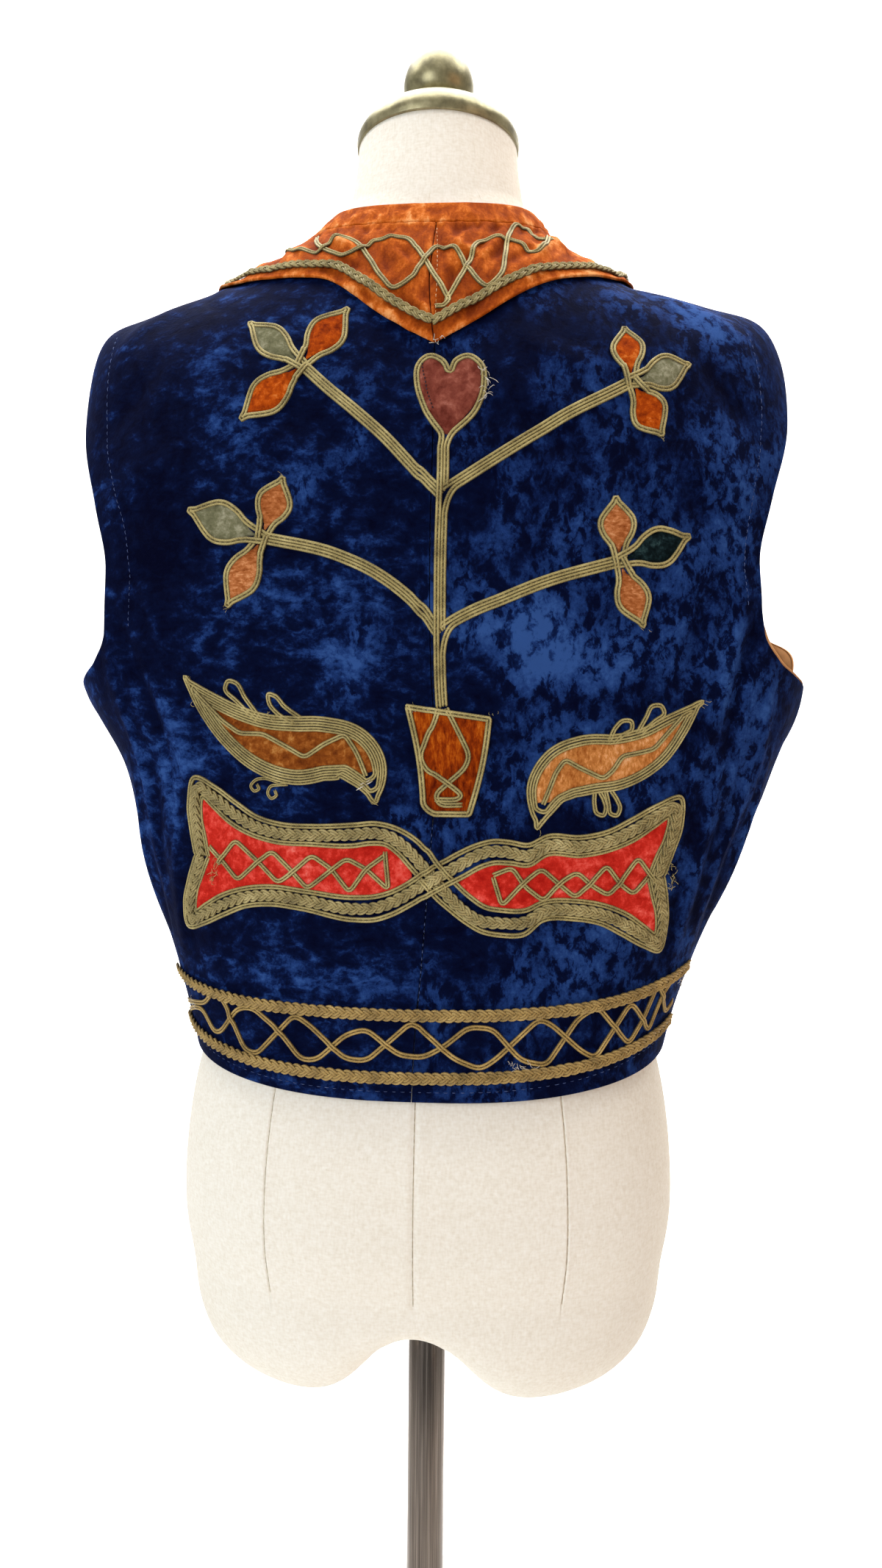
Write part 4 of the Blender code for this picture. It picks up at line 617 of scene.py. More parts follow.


# Where the pile is drawn brighter (above 0) or darker: middle, radii across and up, how much. The tall
# bright ones down the sides under the arms are painted sheen; the others are patches of pressed pile.
pileAndSheenPlaces = [
    (-100, 1290, 42, 26, 0.08), (-68, 1372, 34, 14, 0.12), (-52, 1220, 40, 18, 0.14),
    (-150, 1240, 45, 60, -0.10), (-40, 1180, 40, 14, 0.20), (-185, 1320, 30, 60, -0.08),
    (-112, 1188, 20, 20, 0.05), (-165, 1392, 40, 14, -0.02), (52, 1196, 34, 26, 0.17),
    (88, 1180, 30, 16, 0.18), (172, 1370, 26, 34, 0.08), (194, 1290, 24, 60, 0.07),
    (60, 1300, 30, 24, -0.05), (120, 1400, 40, 14, 0.03), (176, 1210, 26, 34, 0.06),
    (60, 1375, 26, 16, -0.02), (-48, 994, 40, 16, 0.20), (100, 1006, 60, 22, 0.12),
    (-150, 1010, 40, 30, 0.0), (150, 1090, 30, 50, 0.03), (-190, 1110, 26, 60, 0.12),
    (196, 1100, 22, 60, 0.05), (-290, 1120, 60, 90, 0.03), (290, 1120, 60, 90, 0.03),
]
# Painted light on the folds: how much lighter the pile is drawn for each millimetre of ridge, and darker
# in each trough, and the painted highlight along the collar's rolled edges.
paintedFoldLight = {"vest": 0.035, "collar": 0.085, "rim": 0.14, "edgeHighlightWidth": 3.0}


def pileAndSheenTone(flat):
    lean = np.zeros(flat.shape[:-1])
    for x, h, wide, high, much in pileAndSheenPlaces:
        lean += much * np.exp(-((flat[..., 0] - x) / wide) ** 2 - ((flat[..., 1] - h) / high) ** 2)
    return lean


# A cloth wall with rounded edges from a grid of flat places: outside and inside share their border.
def addCloth(name, flat, edgeDistance, thickness, finish, replaced, kind="vest", raised=0.0,
             flip=False):
    rows, columns = flat.shape[:2]
    half = thickness / 2
    near = half - np.clip(edgeDistance / 1000, 0, half)
    drop = half - np.sqrt(half**2 - near**2)
    points, normals = onVest(flat)
    lift = creaseLift(flat, kind) + raised
    outer = points + normals * (lift - drop)[..., None]
    inner = points + normals * (lift - thickness + drop)[..., None]
    outerIndex, innerIndex = numbered(rows, columns), numbered(rows, columns, rows * columns)
    border = np.zeros((rows, columns), bool)
    border[[0, -1]] = border[:, [0, -1]] = True
    innerIndex = np.where(border, outerIndex, innerIndex)
    outerFaces, innerFaces = gridQuads(outerIndex), gridQuads(innerIndex)
    faces = [outerFaces[:, ::-1] if flip else outerFaces, innerFaces if flip else innerFaces[:, ::-1]]
    middle = (outer + inner) / 2
    outer[border] = middle[border]
    every = np.concatenate([outer.reshape(-1, 3), inner.reshape(-1, 3)])
    # How light the velvet is drawn: pile patches, with painted light on fold ridges and painted shade in
    # troughs.
    if kind == "vest":
        tone = pileAndSheenTone(flat) + paintedFoldLight["vest"] * 1000 * creaseLift(flat, "vest")
    else:
        # The collar: a painted highlight along its rolled edges, and painted light and shade on its folds.
        paintedEdgeHighlight = paintedFoldLight["rim"] * np.exp(-(edgeDistance / paintedFoldLight["edgeHighlightWidth"]) ** 2)
        tone = paintedEdgeHighlight + paintedFoldLight["collar"] * 1000 * creaseLift(flat, "collar")
    pileAndPaintedShading = np.tile(tone.ravel(), 2)
    return addPiece(name, every, np.concatenate(faces), finish, replaced, pileAndPaintedShading=pileAndPaintedShading)


# A curve through points with a point about every step.
def curveThrough(points, step, closed=False):
    points = np.asarray(points, float)
    if closed:
        points = np.vstack([points[-3:], points, points[:4]])
    distance = runAlong(points[:, :2])
    start, end = (distance[3], distance[-4]) if closed else (0, distance[-1])
    count = max(int(round((end - start) / step)), 3)
    at = np.linspace(start, end, count + 1)
    at = at[:-1] if closed else at
    return cubicBetween(distance, points, np.gradient(points, distance, axis=0), at)


# Straight runs with rounded corners.
def roundedRun(points, step, radius, closed=False):
    points = np.asarray(points, float)
    count = len(points)
    out = []
    for k in range(count):
        if not closed and k in (0, count - 1):
            out.append(points[k])
            continue
        before, here, after = points[k - 1], points[k], points[(k + 1) % count]
        first, last = (here + unit(end - here) * min(radius, np.linalg.norm(end - here) * 0.45)
                       for end in (before, after))
        for t in (0.0, 0.25, 0.5, 0.75, 1.0):
            out.append(first * (1 - t) ** 2 + here * 2 * t * (1 - t) + last * t**2)
    out = np.array(out)
    if closed:
        out = np.vstack([out, out[:1]])
    distance = runAlong(out)
    even = readAlong(np.linspace(0, distance[-1], max(int(distance[-1] / step), 6) + 1), distance, out)
    return even[:-1] if closed else even


# Cross-sections of braids, as (share across, height in mm): ribs above and a flat back.
soutacheSection = np.array([
    (-1.0, -0.1), (-1.0, 0.40), (-0.84, 0.95), (-0.55, 1.22), (-0.26, 0.95), (-0.06, 0.32), (0.06, 0.32),
    (0.26, 0.95), (0.55, 1.22), (0.84, 0.95), (1.0, 0.40), (1.0, -0.1),
])
strandSection = np.array([
    (-1.0, -0.1), (-0.88, 0.55), (-0.5, 0.88), (-0.1, 0.36), (0.1, 0.36), (0.5, 0.88), (0.88, 0.55),
    (1.0, -0.1),
])


# How far a braid's loose ends are tucked down, in mm, at its last point and the one before.
tuckedEnd = np.array([0.7, 0.3])


# Sweeps a section along a path on the cloth. sideways and lifts, in mm, move the path's own points.
def sweep(path, section, width, lifts=0.0, kind="vest", closed=False, heightScale=1.0, sideways=None):
    points, normals = onCloth(path[:, :2], kind)
    if sideways is not None:
        side = unit(np.cross(aheadOf(points, closed), normals))
        points = points + side * np.asarray(sideways)[:, None] / 1000
    lifts = np.broadcast_to(np.asarray(lifts, float), (len(path),)).copy()
    if not closed:
        lifts[:2] -= tuckedEnd
        lifts[-2:] -= tuckedEnd[::-1]
    points = points + normals * lifts[:, None] / 1000
    ahead = unit(aheadOf(points, closed))
    side = unit(np.cross(ahead, normals))
    up = np.cross(side, ahead)
    ring = (points[:, None] + side[:, None] * section[:, :1] * width / 2000
            + up[:, None] * section[:, 1:] * heightScale / 1000)
    lengths = np.stack(np.broadcast_arrays(1000 * runAlong(points)[:, None], section[:, 0]), axis=-1)
    rows, columns = ring.shape[:2]
    quads = gridQuads(numbered(rows, columns), wrapRows=closed, wrapColumns=True)
    return ring.reshape(-1, 3), quads, lengths.reshape(-1, 2), (None if closed else (rows, columns))


# Joins swept braids into one piece, with flat caps on their ends.
def addBraid(name, parts, finish, replaced=()):
    points, quads, lengths, caps, start = [], [], [], [], 0
    for ring, faces, run, ends in parts:
        points.append(ring)
        lengths.append(run)
        quads.append(faces + start)
        if ends:
            rows, columns = ends
            caps.append(np.arange(columns)[None, ::-1] + start)
            caps.append(np.arange(columns)[None] + start + (rows - 1) * columns)
        start += len(ring)
    groups = [np.concatenate(quads)]
    for size in sorted({cap.shape[1] for cap in caps}):
        groups.append(np.concatenate([cap for cap in caps if cap.shape[1] == size]))
    return addPiece(name, np.concatenate(points), groups, finish, replaced,
                    np.concatenate(lengths))


# Three double cords plaited along a path, each with a slow ripple of its own.
plaitShape = {"pitch": 15.6, "reach": 2.3, "rise": 0.66, "strandWidth": 3.2, "seat": 1.0, "height": 1.25}


def plait(path, kind="vest", lifts=0.0, scale=1.0, phase=0.0):
    run = runAlong(path[:, :2])
    parts = []
    for strand in range(3):
        turn = 2 * math.pi * (run / plaitShape["pitch"] + strand / 3) + phase
        ripple = 0.12 * np.sin(run / 23 + strand) + 0.1 * np.sin(run / 7.7 + 2 * strand)
        sideways = plaitShape["reach"] * scale * np.sin(turn) + ripple
        rise = plaitShape["seat"] - plaitShape["rise"] * np.sin(2 * turn)
        parts.append(sweep(path, strandSection, plaitShape["strandWidth"] * scale, rise + lifts, kind,
                           heightScale=plaitShape["height"], sideways=sideways))
    return parts


def crossOf(first, second):
    return first[..., 0] * second[..., 1] - first[..., 1] * second[..., 0]


# Above 0 where an outline runs anticlockwise.
def turnOf(outline):
    return np.sum(crossOf(outline, np.roll(outline, -1, axis=0)))


# Closed outlines drawn in by a distance, whichever way round they run.
def inset(outline, distance):
    ahead = unit(np.roll(outline, -1, axis=0) - outline)
    bisector = unit(ahead + np.roll(ahead, 1, axis=0))
    stretch = np.maximum(np.sum(bisector * ahead, axis=1, keepdims=True), 0.55)
    inward = np.stack([-bisector[:, 1], bisector[:, 0]], axis=1)
    return outline + inward * math.copysign(distance, turnOf(outline)) / stretch


def areInside(places, outline):
    ahead = np.roll(outline, -1, axis=0)
    crosses = (outline[None, :, 1] > places[:, None, 1]) != (ahead[None, :, 1] > places[:, None, 1])
    rise = np.where(crosses, (ahead - outline)[None, :, 1], 1.0)
    reach = outline[None, :, 0] + (places[:, None, 1] - outline[None, :, 1]) * (ahead - outline)[None, :,
                                                                                                 0] / rise
    return np.sum(crosses & (reach > places[:, None, 0]), axis=1) % 2 == 1


# A velvet patch, plump in the middle, its border pressed down under the braid.
patchShape = {"spacing": 2.0, "edge": 0.25, "softness": 2.6, "seat": 0.05}


def addPatch(name, outline, finish, replaced=(), plump=0.9):
    spacing = patchShape["spacing"]
    low, high = outline.min(axis=0), outline.max(axis=0)
    xs, hs = np.meshgrid(np.arange(low[0], high[0], spacing), np.arange(low[1], high[1], spacing))
    xs = xs + np.where(np.arange(xs.shape[0]) % 2, spacing / 2, 0)[:, None]
    lattice = np.stack([xs.ravel(), hs.ravel()], axis=1)
    gap = np.min(np.linalg.norm(lattice[:, None] - outline[None], axis=-1), axis=1)
    inner = lattice[areInside(lattice, outline) & (gap > spacing * 0.5)]
    corners = [Vector(p) for p in [*outline, *inner]]
    flat, _, faces, *_ = delaunay_2d_cdt(corners, [], [list(range(len(outline)))], 1, 1e-5)
    flat, faces = np.array(flat), np.array([f for f in faces if len(f) == 3])
    depth = np.min(np.linalg.norm(flat[:, None] - outline[None], axis=-1), axis=1)
    lift = patchShape["edge"] + plump * (1 - np.exp(-(depth / patchShape["softness"]) ** 1.4))
    points, normals = onCloth(flat)
    top, bottom = points + normals * lift[:, None] / 1000, points + normals * patchShape["seat"] / 1000
    count, ring = len(flat), np.arange(len(outline))
    wall = np.stack([ring, ring + count, np.roll(ring, -1) + count, np.roll(ring, -1)], axis=1)
    a, b, c = (flat[faces[:, i]] for i in range(3))
    if np.sum(crossOf(b - a, c - a)) < 0:
        faces = faces[:, ::-1]
    if turnOf(outline) < 0:
        wall = wall[:, ::-1]
    return addPiece(name, np.concatenate([top, bottom]),
                    [np.concatenate([faces, faces[:, ::-1] + count]), wall], finish, replaced)


# Short lengths of thread through 3-D points, as thin tubes that narrow at both ends.
def addThreads(name, runs, radiusMm, finish, sides=5):
    points, faces, ends, start = [], [], [], 0
    for run in runs:
        run = np.asarray(run, float)
        count = len(run)
        ahead = unit(np.gradient(run, axis=0))
        side = unit(np.cross(ahead, (0.13, 0.2, 0.97)))   # any direction that no thread keeps to
        up = np.cross(side, ahead)
        radius = np.full(count, radiusMm / 1000)
        radius[[0, -1]] *= 0.45
        angle = (np.arange(sides) * 2 * math.pi / sides)[:, None]
        ring = run[:, None] + radius[:, None, None] * (side[:, None] * np.cos(angle) + up[:, None]
                                                       * np.sin(angle))
        points.append(ring.reshape(-1, 3))
        index = numbered(count, sides, start)
        faces.append(gridQuads(index, wrapColumns=True))
        ends += [index[0, ::-1], index[-1]]
        start += count * sides
    return addPiece(name, np.concatenate(points), [np.concatenate(faces), np.array(ends)], finish)


# Running stitches along a flat path: thread shows for part of each step.
def stitches(path, step, share, lift, kind="vest", seed=1):
    chance = np.random.default_rng(seed)
    run = runAlong(path)
    out = []
    for begin in np.arange(step / 2, run[-1] - step, step):
        span = step * share * chance.uniform(0.8, 1.15)
        flat = readAlong(begin + np.linspace(0, span, 4), run, path)
        flat[:, 0] += chance.uniform(-0.15, 0.15)
        points, normals = onCloth(flat, kind)
        arch = np.array([-0.15, 0.22, 0.22, -0.15]) + lift
        out.append(points + normals * arch[:, None] / 1000)
    return out


# Loose fibres that stand out of spots on the cloth.
frayShape = {"steps": 7, "scatter": 1.2, "curl": 2.5, "low": 1.0, "rise": 1.6}


def fray(spots, reachMm, count, seed, kind="vest"):
    chance = np.random.default_rng(seed)
    steps = frayShape["steps"]
    out = []
    for spot in np.repeat(np.array(spots, float), count, axis=0):
        place = spot + chance.normal(0, frayShape["scatter"], 2)
        heading = chance.uniform(0, 2 * math.pi)
        curl = chance.uniform(-frayShape["curl"], frayShape["curl"])
        flat, height = [place], [frayShape["low"]]
        stride = reachMm * chance.uniform(0.4, 1.0) / steps
        for k in range(steps):
            heading += curl / steps
            flat.append(flat[-1] + stride * np.array([math.cos(heading), math.sin(heading)]))
            arch = math.sin(math.pi * (k + 1) / (steps + 1))
            height.append(frayShape["low"] + frayShape["rise"] * arch * chance.uniform(0.4, 1.0))
        points, normals = onCloth(np.array(flat), kind)
        out.append(points + normals * np.array(height)[:, None] / 1000)
    return out


print("tools ready")


# ---- the vest's panels
# Where each panel ends, in degrees of turn, from the hem to the neck.
panelEnds = np.array([
    # level, end of the back, start of the front, edge of the opening
    (0.923, 80.0, 80.0, 178.0), (1.155, 80.0, 80.0, 178.0), (1.1745, 79.5, 80.5, 178.0),
    (1.178, 70.0, 92.0, 178.0), (1.184, 60.5, 101.0, 178.0), (1.200, 53.5, 111.0, 178.0),
    (1.235, 52.5, 118.0, 178.0), (1.270, 58.0, 119.0, 175.0), (1.300, 68.5, 113.0, 172.5),
    (1.325, 79.5, 103.0, 170.0), (1.345, 90.0, 90.0, 167.5), (1.360, 90.0, 90.0, 166.0),
    (1.375, 90.0, 90.0, 164.0), (1.390, 90.0, 90.0, 161.7), (1.405, 90.0, 90.0, 159.0),
    (1.419, 90.0, 90.0, 155.0), (1.432, 90.0, 90.0, 150.0), (1.444, 90.0, 90.0, 143.0),
    (1.455, 90.0, 90.0, 134.0), (1.4685, 90.0, 90.0, 112.0),
])


# A curve through a table's rows that never overshoots them.
def readEnds(table, column, level):
    keys, values = table[:, 0], table[:, column]
    steps = np.diff(values) / np.diff(keys)
    product = steps[:-1] * steps[1:]
    total = np.where(product > 0, steps[:-1] + steps[1:], 1.0)
    slopes = np.concatenate([[0], np.where(product > 0, 2 * product / total, 0), [0]])
    return cubicBetween(keys, values, slopes, level)


# Places along a length, closer at both ends, so that folded edges come out round.
def edgeSpaced(length, spacing):
    close = np.array([0, 0.35, 0.9, 1.8])
    count = max(int((length - 3.6) / spacing), 3)
    middle = np.linspace(1.8, length - 1.8, count + 1)[1:-1]
    return np.concatenate([close, middle, length - close[::-1]]) / length


# How far each point of a grid lies from its border; a side that is sewn to the next piece doesn't count.
def borderDistance(flat, seam=None):
    sides = {"firstRow": flat[0], "lastRow": flat[-1], "firstColumn": flat[:, 0], "lastColumn": flat[:, -1]}
    border = np.concatenate([line for name, line in sides.items() if name != seam])
    rows = [np.min(np.linalg.norm(row[:, None] - border[None], axis=-1), axis=1) for row in flat]
    return np.array(rows)


def pieceArea(piece):
    return sum(face.area for face in piece.data.polygons) / 2


# The start of a front panel; on the right its armhole rises more slowly and shows the facing.
def frontStarts(name, levels):
    slower = panelCut["slower"] * np.exp(-((levels - 1.196) / 0.015) ** 2) * (name == "right")
    return readEnds(panelEnds, 2, levels) - slower


panelCut = {"backSpacing": 2.4, "frontSpacing": 3.4, "gap": 0.3, "slower": 15.0, "hemCorner": 4.0}
panelLevels = np.unique(np.concatenate([
    1000 * (hemLevel + (neckLevel - hemLevel) * edgeSpaced(545.5, 2.8)), np.arange(1173, 1200, 1.0),
]))
panelLevels = panelLevels[np.insert(np.diff(panelLevels) > 0.3, 0, True)]
for name, side in (("left", -1), ("right", 1)):
    levels = panelLevels / 1000
    backEnd = arcAt(readEnds(panelEnds, 1, levels), levels) - panelCut["gap"] / 2
    frontStart = arcAt(frontStarts(name, levels), levels) + panelCut["gap"] / 2
    frontEnd = arcAt(readEnds(panelEnds, 3, levels), levels)
    frontEnd = frontEnd - panelCut["hemCorner"] * np.exp(-((panelLevels - panelLevels[0]) / 3.0))
    backStart = seamAt(levels) + side * panelCut["gap"] / 2
    for part, start, end in (("back", backStart, side * backEnd),
                             ("front", side * frontStart, side * frontEnd)):
        shares = edgeSpaced(abs(end - start).max(), panelCut[part + "Spacing"])
        flat = np.stack(np.broadcast_arrays(start[:, None] + (end - start)[:, None] * shares,
                                            panelLevels[:, None]), axis=-1)
        edges = borderDistance(flat, "firstColumn" if part == "back" else None)
        addCloth(f"vest_{part}_{name}_velvet", flat, edges, layers["cloth"],
                                       finishes["navy"], [f"vest_{part}_{name}"],
                                       flip=side < 0)

# A cotton strip turned in round each armhole.
facingCut = {"width": 28.0, "seat": 1.8, "rolledOver": 1.4, "foot": 1188, "around": 180, "across": 10}
for name, side in (("left", -1), ("right", 1)):
    heights = np.concatenate([np.arange(1175, 1186, 1.0), np.arange(1188, 1345, 3.0), [1345]])
    levels = heights / 1000
    ends = [arcAt(frontStarts(name, levels), levels) + 0.3,
            arcAt(readEnds(panelEnds, 1, levels), levels) - 0.3]
    edge = np.vstack([np.stack([ends[0], heights], axis=1), np.stack([ends[1], heights], axis=1)[::-1]])
    edge = np.vstack([edge, edge[:1]])
    run = runAlong(edge)
    loop = readAlong(np.linspace(0, run[-1], facingCut["around"], endpoint=False), run, edge)
    shares = np.linspace(0, 1, facingCut["across"]) ** 1.6
    # At the foot of the right armhole the strip has rolled out over the velvet's edge.
    rolled = (np.exp(-((loop[:, 1] - facingCut["foot"]) / 20) ** 4) * (name == "right"))[:, None]
    inward = facingCut["width"] * shares - facingCut["rolledOver"] * rolled * np.exp(-(shares / 0.1) ** 2)
    flat = loop[:, None] + unit(loop - loop.mean(axis=0))[:, None] * inward[..., None]
    flat[..., 0] *= side
    points, normals = onVest(flat)
    seat = (layers["cloth"] + facingCut["seat"] / 1000) * (1 - rolled * np.exp(-(shares / 0.06) ** 2))
    lift = creaseLift(flat, "vest") - seat
    outer, inner = (points + normals * height[..., None] for height in (lift, lift - layers["lining"]))
    size = facingCut["around"], facingCut["across"]
    outerIndex, innerIndex = numbered(*size), numbered(*size, size[0] * size[1])
    # The strip's two faces, and the walls along its two edges.
    faces = [gridQuads(outerIndex, wrapRows=True), gridQuads(innerIndex, wrapRows=True)[:, ::-1]]
    for column, way in ((0, 1), (-1, -1)):
        wall = np.stack([outerIndex[:, column], innerIndex[:, column]], axis=1)
        faces.append(np.hstack([wall, np.roll(wall, -1, axis=0)[:, ::-1]])[:, ::way])
    faces = np.concatenate(faces) if side < 0 else np.concatenate(faces)[:, ::-1]
    addPiece(f"armhole_facing_{name}_cotton",
                             np.concatenate([outer.reshape(-1, 3), inner.reshape(-1, 3)]), faces,
                             finishes["tan"], [f"armhole_facing_{name}"])
print("panels and facings made")


# ---- the collar
collarBack = {   # share of the way from the centre back to the shoulder seam, and the outer edge's levels
    "shares": [0, 0.10, 0.20, 0.30, 0.40, 0.52, 0.64, 0.75, 0.84, 0.92, 1.0],
    "left": [1361.5, 1376.5, 1392.5, 1405.0, 1408.0, 1407.5, 1406.0, 1404.5, 1404.0, 1404.0, 1404.0],
    "right": [1361.5, 1375.5, 1388.5, 1397.5, 1402.5, 1404.0, 1403.5, 1403.5, 1404.0, 1404.0, 1404.0],
}
# Its end on the front, which narrows to a point at the foot of the neck's V.
collarFront = [
    # inner turn, inner level, outer turn, outer level
    (97.0, 1451.2, 95.0, 1403.8), (104.0, 1451.2, 101.0, 1402.5), (112.0, 1451.2, 108.0, 1399.5),
    (122.0, 1451.2, 116.5, 1394.5), (132.0, 1450.5, 125.0, 1388.0), (139.5, 1445.0, 131.5, 1379.5),
    (146.0, 1437.0, 138.0, 1369.0), (154.3, 1417.0, 149.0, 1343.0), (159.8, 1396.0, 156.0, 1319.0),
    (164.0, 1372.0, 161.0, 1297.5), (167.5, 1344.0, 165.7, 1278.0), (171.4, 1310.0, 170.3, 1260.0),
    (174.7, 1273.0, 173.9, 1248.0), (177.4, 1242.0, 176.8, 1236.0),
]
collarCut = {"low": 1451.2, "bandLow": 1451.5, "bandHigh": 1468.5, "plaitIn": 8.5, "spacing": 2.4,
             "plaitFurther": 4.5, "narrowest": 30, "places": 230,
             "ends": np.array([0, 0.0015, 0.004, 0.008])}


def collarEdges(name, side):
    inner, outer = [], []
    for share, level in zip(collarBack["shares"], collarBack[name]):
        for edge, height in ((inner, collarCut["low"]), (outer, level)):
            seam = float(seamAt(height / 1000)) + side * panelCut["gap"] / 2
            shoulder = side * float(arcAt(90.0, height / 1000))
            edge.append((seam + (shoulder - seam) * share, height))
    for innerTurn, innerLevel, outerTurn, outerLevel in collarFront:
        inner.append((side * float(arcAt(innerTurn, innerLevel / 1000)), innerLevel))
        outer.append((side * float(arcAt(outerTurn, outerLevel / 1000)), outerLevel))
    return np.array(inner), np.array(outer)


# A smooth curve through rows, read at a number of places that are even by row.
def smoothRows(rows, count):
    keys = np.arange(len(rows), dtype=float)
    return cubicBetween(keys, rows, np.gradient(rows, axis=0), np.linspace(0, len(rows) - 1, count))


collars, collarPlaits = {}, {}
for name, side in (("left", -1), ("right", 1)):
    places, ends = collarCut["places"], collarCut["ends"]
    middle = np.linspace(ends[-1], 1 - ends[-1], 200)[1:-1]
    along = np.concatenate([ends, middle, 1 - ends[::-1]]) * (places - 1)
    inner, outer = (readAlong(along, np.arange(places), smoothRows(edge, places))
                    for edge in collarEdges(name, side))
    shares = edgeSpaced(90.0, collarCut["spacing"])
    flat = outer[:, None] + (inner - outer)[:, None] * shares[None, :, None]
    collars[name] = addCloth(f"collar_{name}_velvet", flat, borderDistance(flat, "firstRow"),
                             layers["collarThickness"], finishes["orange"],
                             [f"collar_{name}"], kind="collar", raised=layers["collarTop"], flip=side > 0)
    width = np.linalg.norm(inner - outer, axis=1)
    keep = int(np.sum(width > collarCut["narrowest"]))
    inward = collarCut["plaitIn"] + collarCut["plaitFurther"] * np.exp(-(along / 26) ** 2)
    path = (outer + (inner - outer) * (inward / width)[:, None])[:keep]
    path = curveThrough(path[::3], 1.1)
    parts = plait(path, "collar", phase=side, scale=0.8)
    collarPlaits[name] = addBraid(f"collar_plait_{name}_cords", parts, finishes["cord"],
                                  [f"collar_plait_{name}"])
    print("collar", name, "area", round(pieceArea(collars[name]), 4))

bandTurns = np.linspace(-133, 133, 190)
bandShares = edgeSpaced(17.0, 1.6)
bandLevels = collarCut["bandLow"] + (collarCut["bandHigh"] - collarCut["bandLow"]) * bandShares
bandReach = 1 - 0.16 * bandShares**1.4
turns = bandTurns[:, None] * bandReach[None]
bandFlat = np.stack(np.broadcast_arrays(np.sign(turns) * arcAt(np.abs(turns), bandLevels[None] / 1000),
                                        bandLevels[None]), axis=-1)
neckBand = addCloth("neck_band_velvet", np.swapaxes(bandFlat, 0, 1),
                    np.swapaxes(borderDistance(bandFlat), 0, 1), layers["collarThickness"],
                    finishes["orange"], ["neck_band"], kind="collar",
                    raised=layers["collarTop"])
print("neck band area", round(pieceArea(neckBand), 4))


# ---- crossing strands
crossingShape = {"rise": 1.15, "spread": 3.0}


# Lifts for two paths where they cross, over and under by turns.
def weave(first, second, over=0, rise=None, spread=None):
    rise, spread = rise or crossingShape["rise"], spread or crossingShape["spread"]
    lifts = np.zeros(len(first)), np.zeros(len(second))
    gap = np.linalg.norm(first[:, None, :2] - second[None, :, :2], axis=-1)
    near = gap.min(axis=1)
    for i in range(2, len(first) - 2):
        if near[i] < 1.0 and near[i] == near[max(i - 5, 0):i + 6].min():
            pair = (first, i), (second, int(gap[i].argmin()))
            path, place = pair[over % 2]
            away = np.linalg.norm(path[:, :2] - path[place, :2], axis=1)
            close = np.abs(np.arange(len(path)) - place) < 14
            bump = np.where(close, rise * np.exp(-(away / spread) ** 2), 0)
            lifts[over % 2][:] = np.maximum(lifts[over % 2], bump)
            over += 1
    return lifts


# ---- the hem band
hemBand = {
    "upper": [(-186, 981), (-150, 976.5), (-110, 974), (-60, 973.5), (0, 973), (60, 974), (110, 977),
              (150, 983), (188, 991)],
    "lower": [(-181, 945), (-140, 940), (-100, 937.5), (-60, 937), (0, 937), (60, 938), (110, 941),
              (150, 946.5), (181, 952)],
    # corners of the two zigzag strands between them
    "under": [(-178, 958), (-156, 963), (-143, 966), (-133, 977), (-124, 971), (-108, 943), (-99, 942),
              (-74, 970), (-64, 964.5), (-42, 946.5), (-29, 946), (-3, 969.5), (6, 962), (22, 948.5),
              (37, 942.5), (46, 948), (71, 971), (79, 967), (98, 949), (107, 943.5), (119, 960),
              (130, 975.5), (137, 968), (148, 952), (158, 976), (172, 990)],
    "over": [(-176, 951), (-158, 959), (-147, 961), (-135, 948), (-128, 950), (-113, 969), (-102, 971),
             (-84, 959.5), (-69, 943.5), (-59, 944.5), (-42, 960.5), (-30, 964.5), (-10, 950), (4, 949),
             (16, 955.5), (30, 967), (44, 966), (61, 947), (76, 943), (95, 970), (107, 976), (120, 960.5),
             (131, 947.5), (141, 961), (152, 985), (166, 960), (176, 967)],
    "strandWidth": 3.2, "corner": 5.0,
}
hemPaths = {name: curveThrough(hemBand[name], 1.1) for name in ("upper", "lower")}
for name in ("upper", "lower"):
    parts = plait(hemPaths[name], phase=0.8 if name == "upper" else 2.3)
    addBraid(f"hem_plait_{name}_cords", parts, finishes["hemCord"], [f"hem_plait_{name}"])
strands = {name: roundedRun(hemBand[name], 1.0, hemBand["corner"]) for name in ("under", "over")}
liftUnder, liftOver = weave(strands["under"], strands["over"])
for name, lift in (("under", liftUnder), ("over", liftOver)):
    part = sweep(strands[name], soutacheSection, hemBand["strandWidth"], lift)
    addBraid(f"hem_strand_{name}_soutache", [part], finishes["hemBraid"],
                              [f"hem_strand_{name}"])
print("hem band made")

# ---- loose lattice on the collar
collarStrands = {
    "under": [(-92, 1431), (-76, 1429), (-61.5, 1428.4), (-49.1, 1437.5), (-38.5, 1433.7),
              (-27.7, 1420.6), (-17.3, 1405.1), (-10.6, 1398.1), (-1.2, 1403.6), (5.3, 1415.8),
              (13, 1428.6), (22.2, 1425.8), (33.2, 1410.3), (44.8, 1398.0), (51.9, 1404.8), (53.7, 1422),
              (54.5, 1438), (59.3, 1449.1), (65.6, 1447.4), (76.8, 1437.6), (88.6, 1437.1)],
    "over": [(-76, 1447), (-66, 1436), (-54, 1427), (-45.6, 1424.2), (-35.9, 1426.3), (-25.7, 1433.8),
             (-6.9, 1435.3), (1.1, 1426), (12.8, 1407.1), (19.6, 1395.1), (22.1, 1389.4), (19.6, 1386.2),
             (14.3, 1384.9)],
    "overEnd": [(20.9, 1389.4), (27.1, 1401.1), (32.8, 1416.3), (36.1, 1431.5), (45.2, 1435.6),
                (61.9, 1431), (73.7, 1423.2), (80.6, 1430.5), (85, 1440)],
}
collarPaths = {name: curveThrough(points, 1.0) for name, points in collarStrands.items()}
liftUnder, liftOver = weave(collarPaths["under"], collarPaths["over"])
liftMore, liftEnd = weave(collarPaths["under"], collarPaths["overEnd"], over=1)
liftUnder = np.maximum(liftUnder, liftMore)
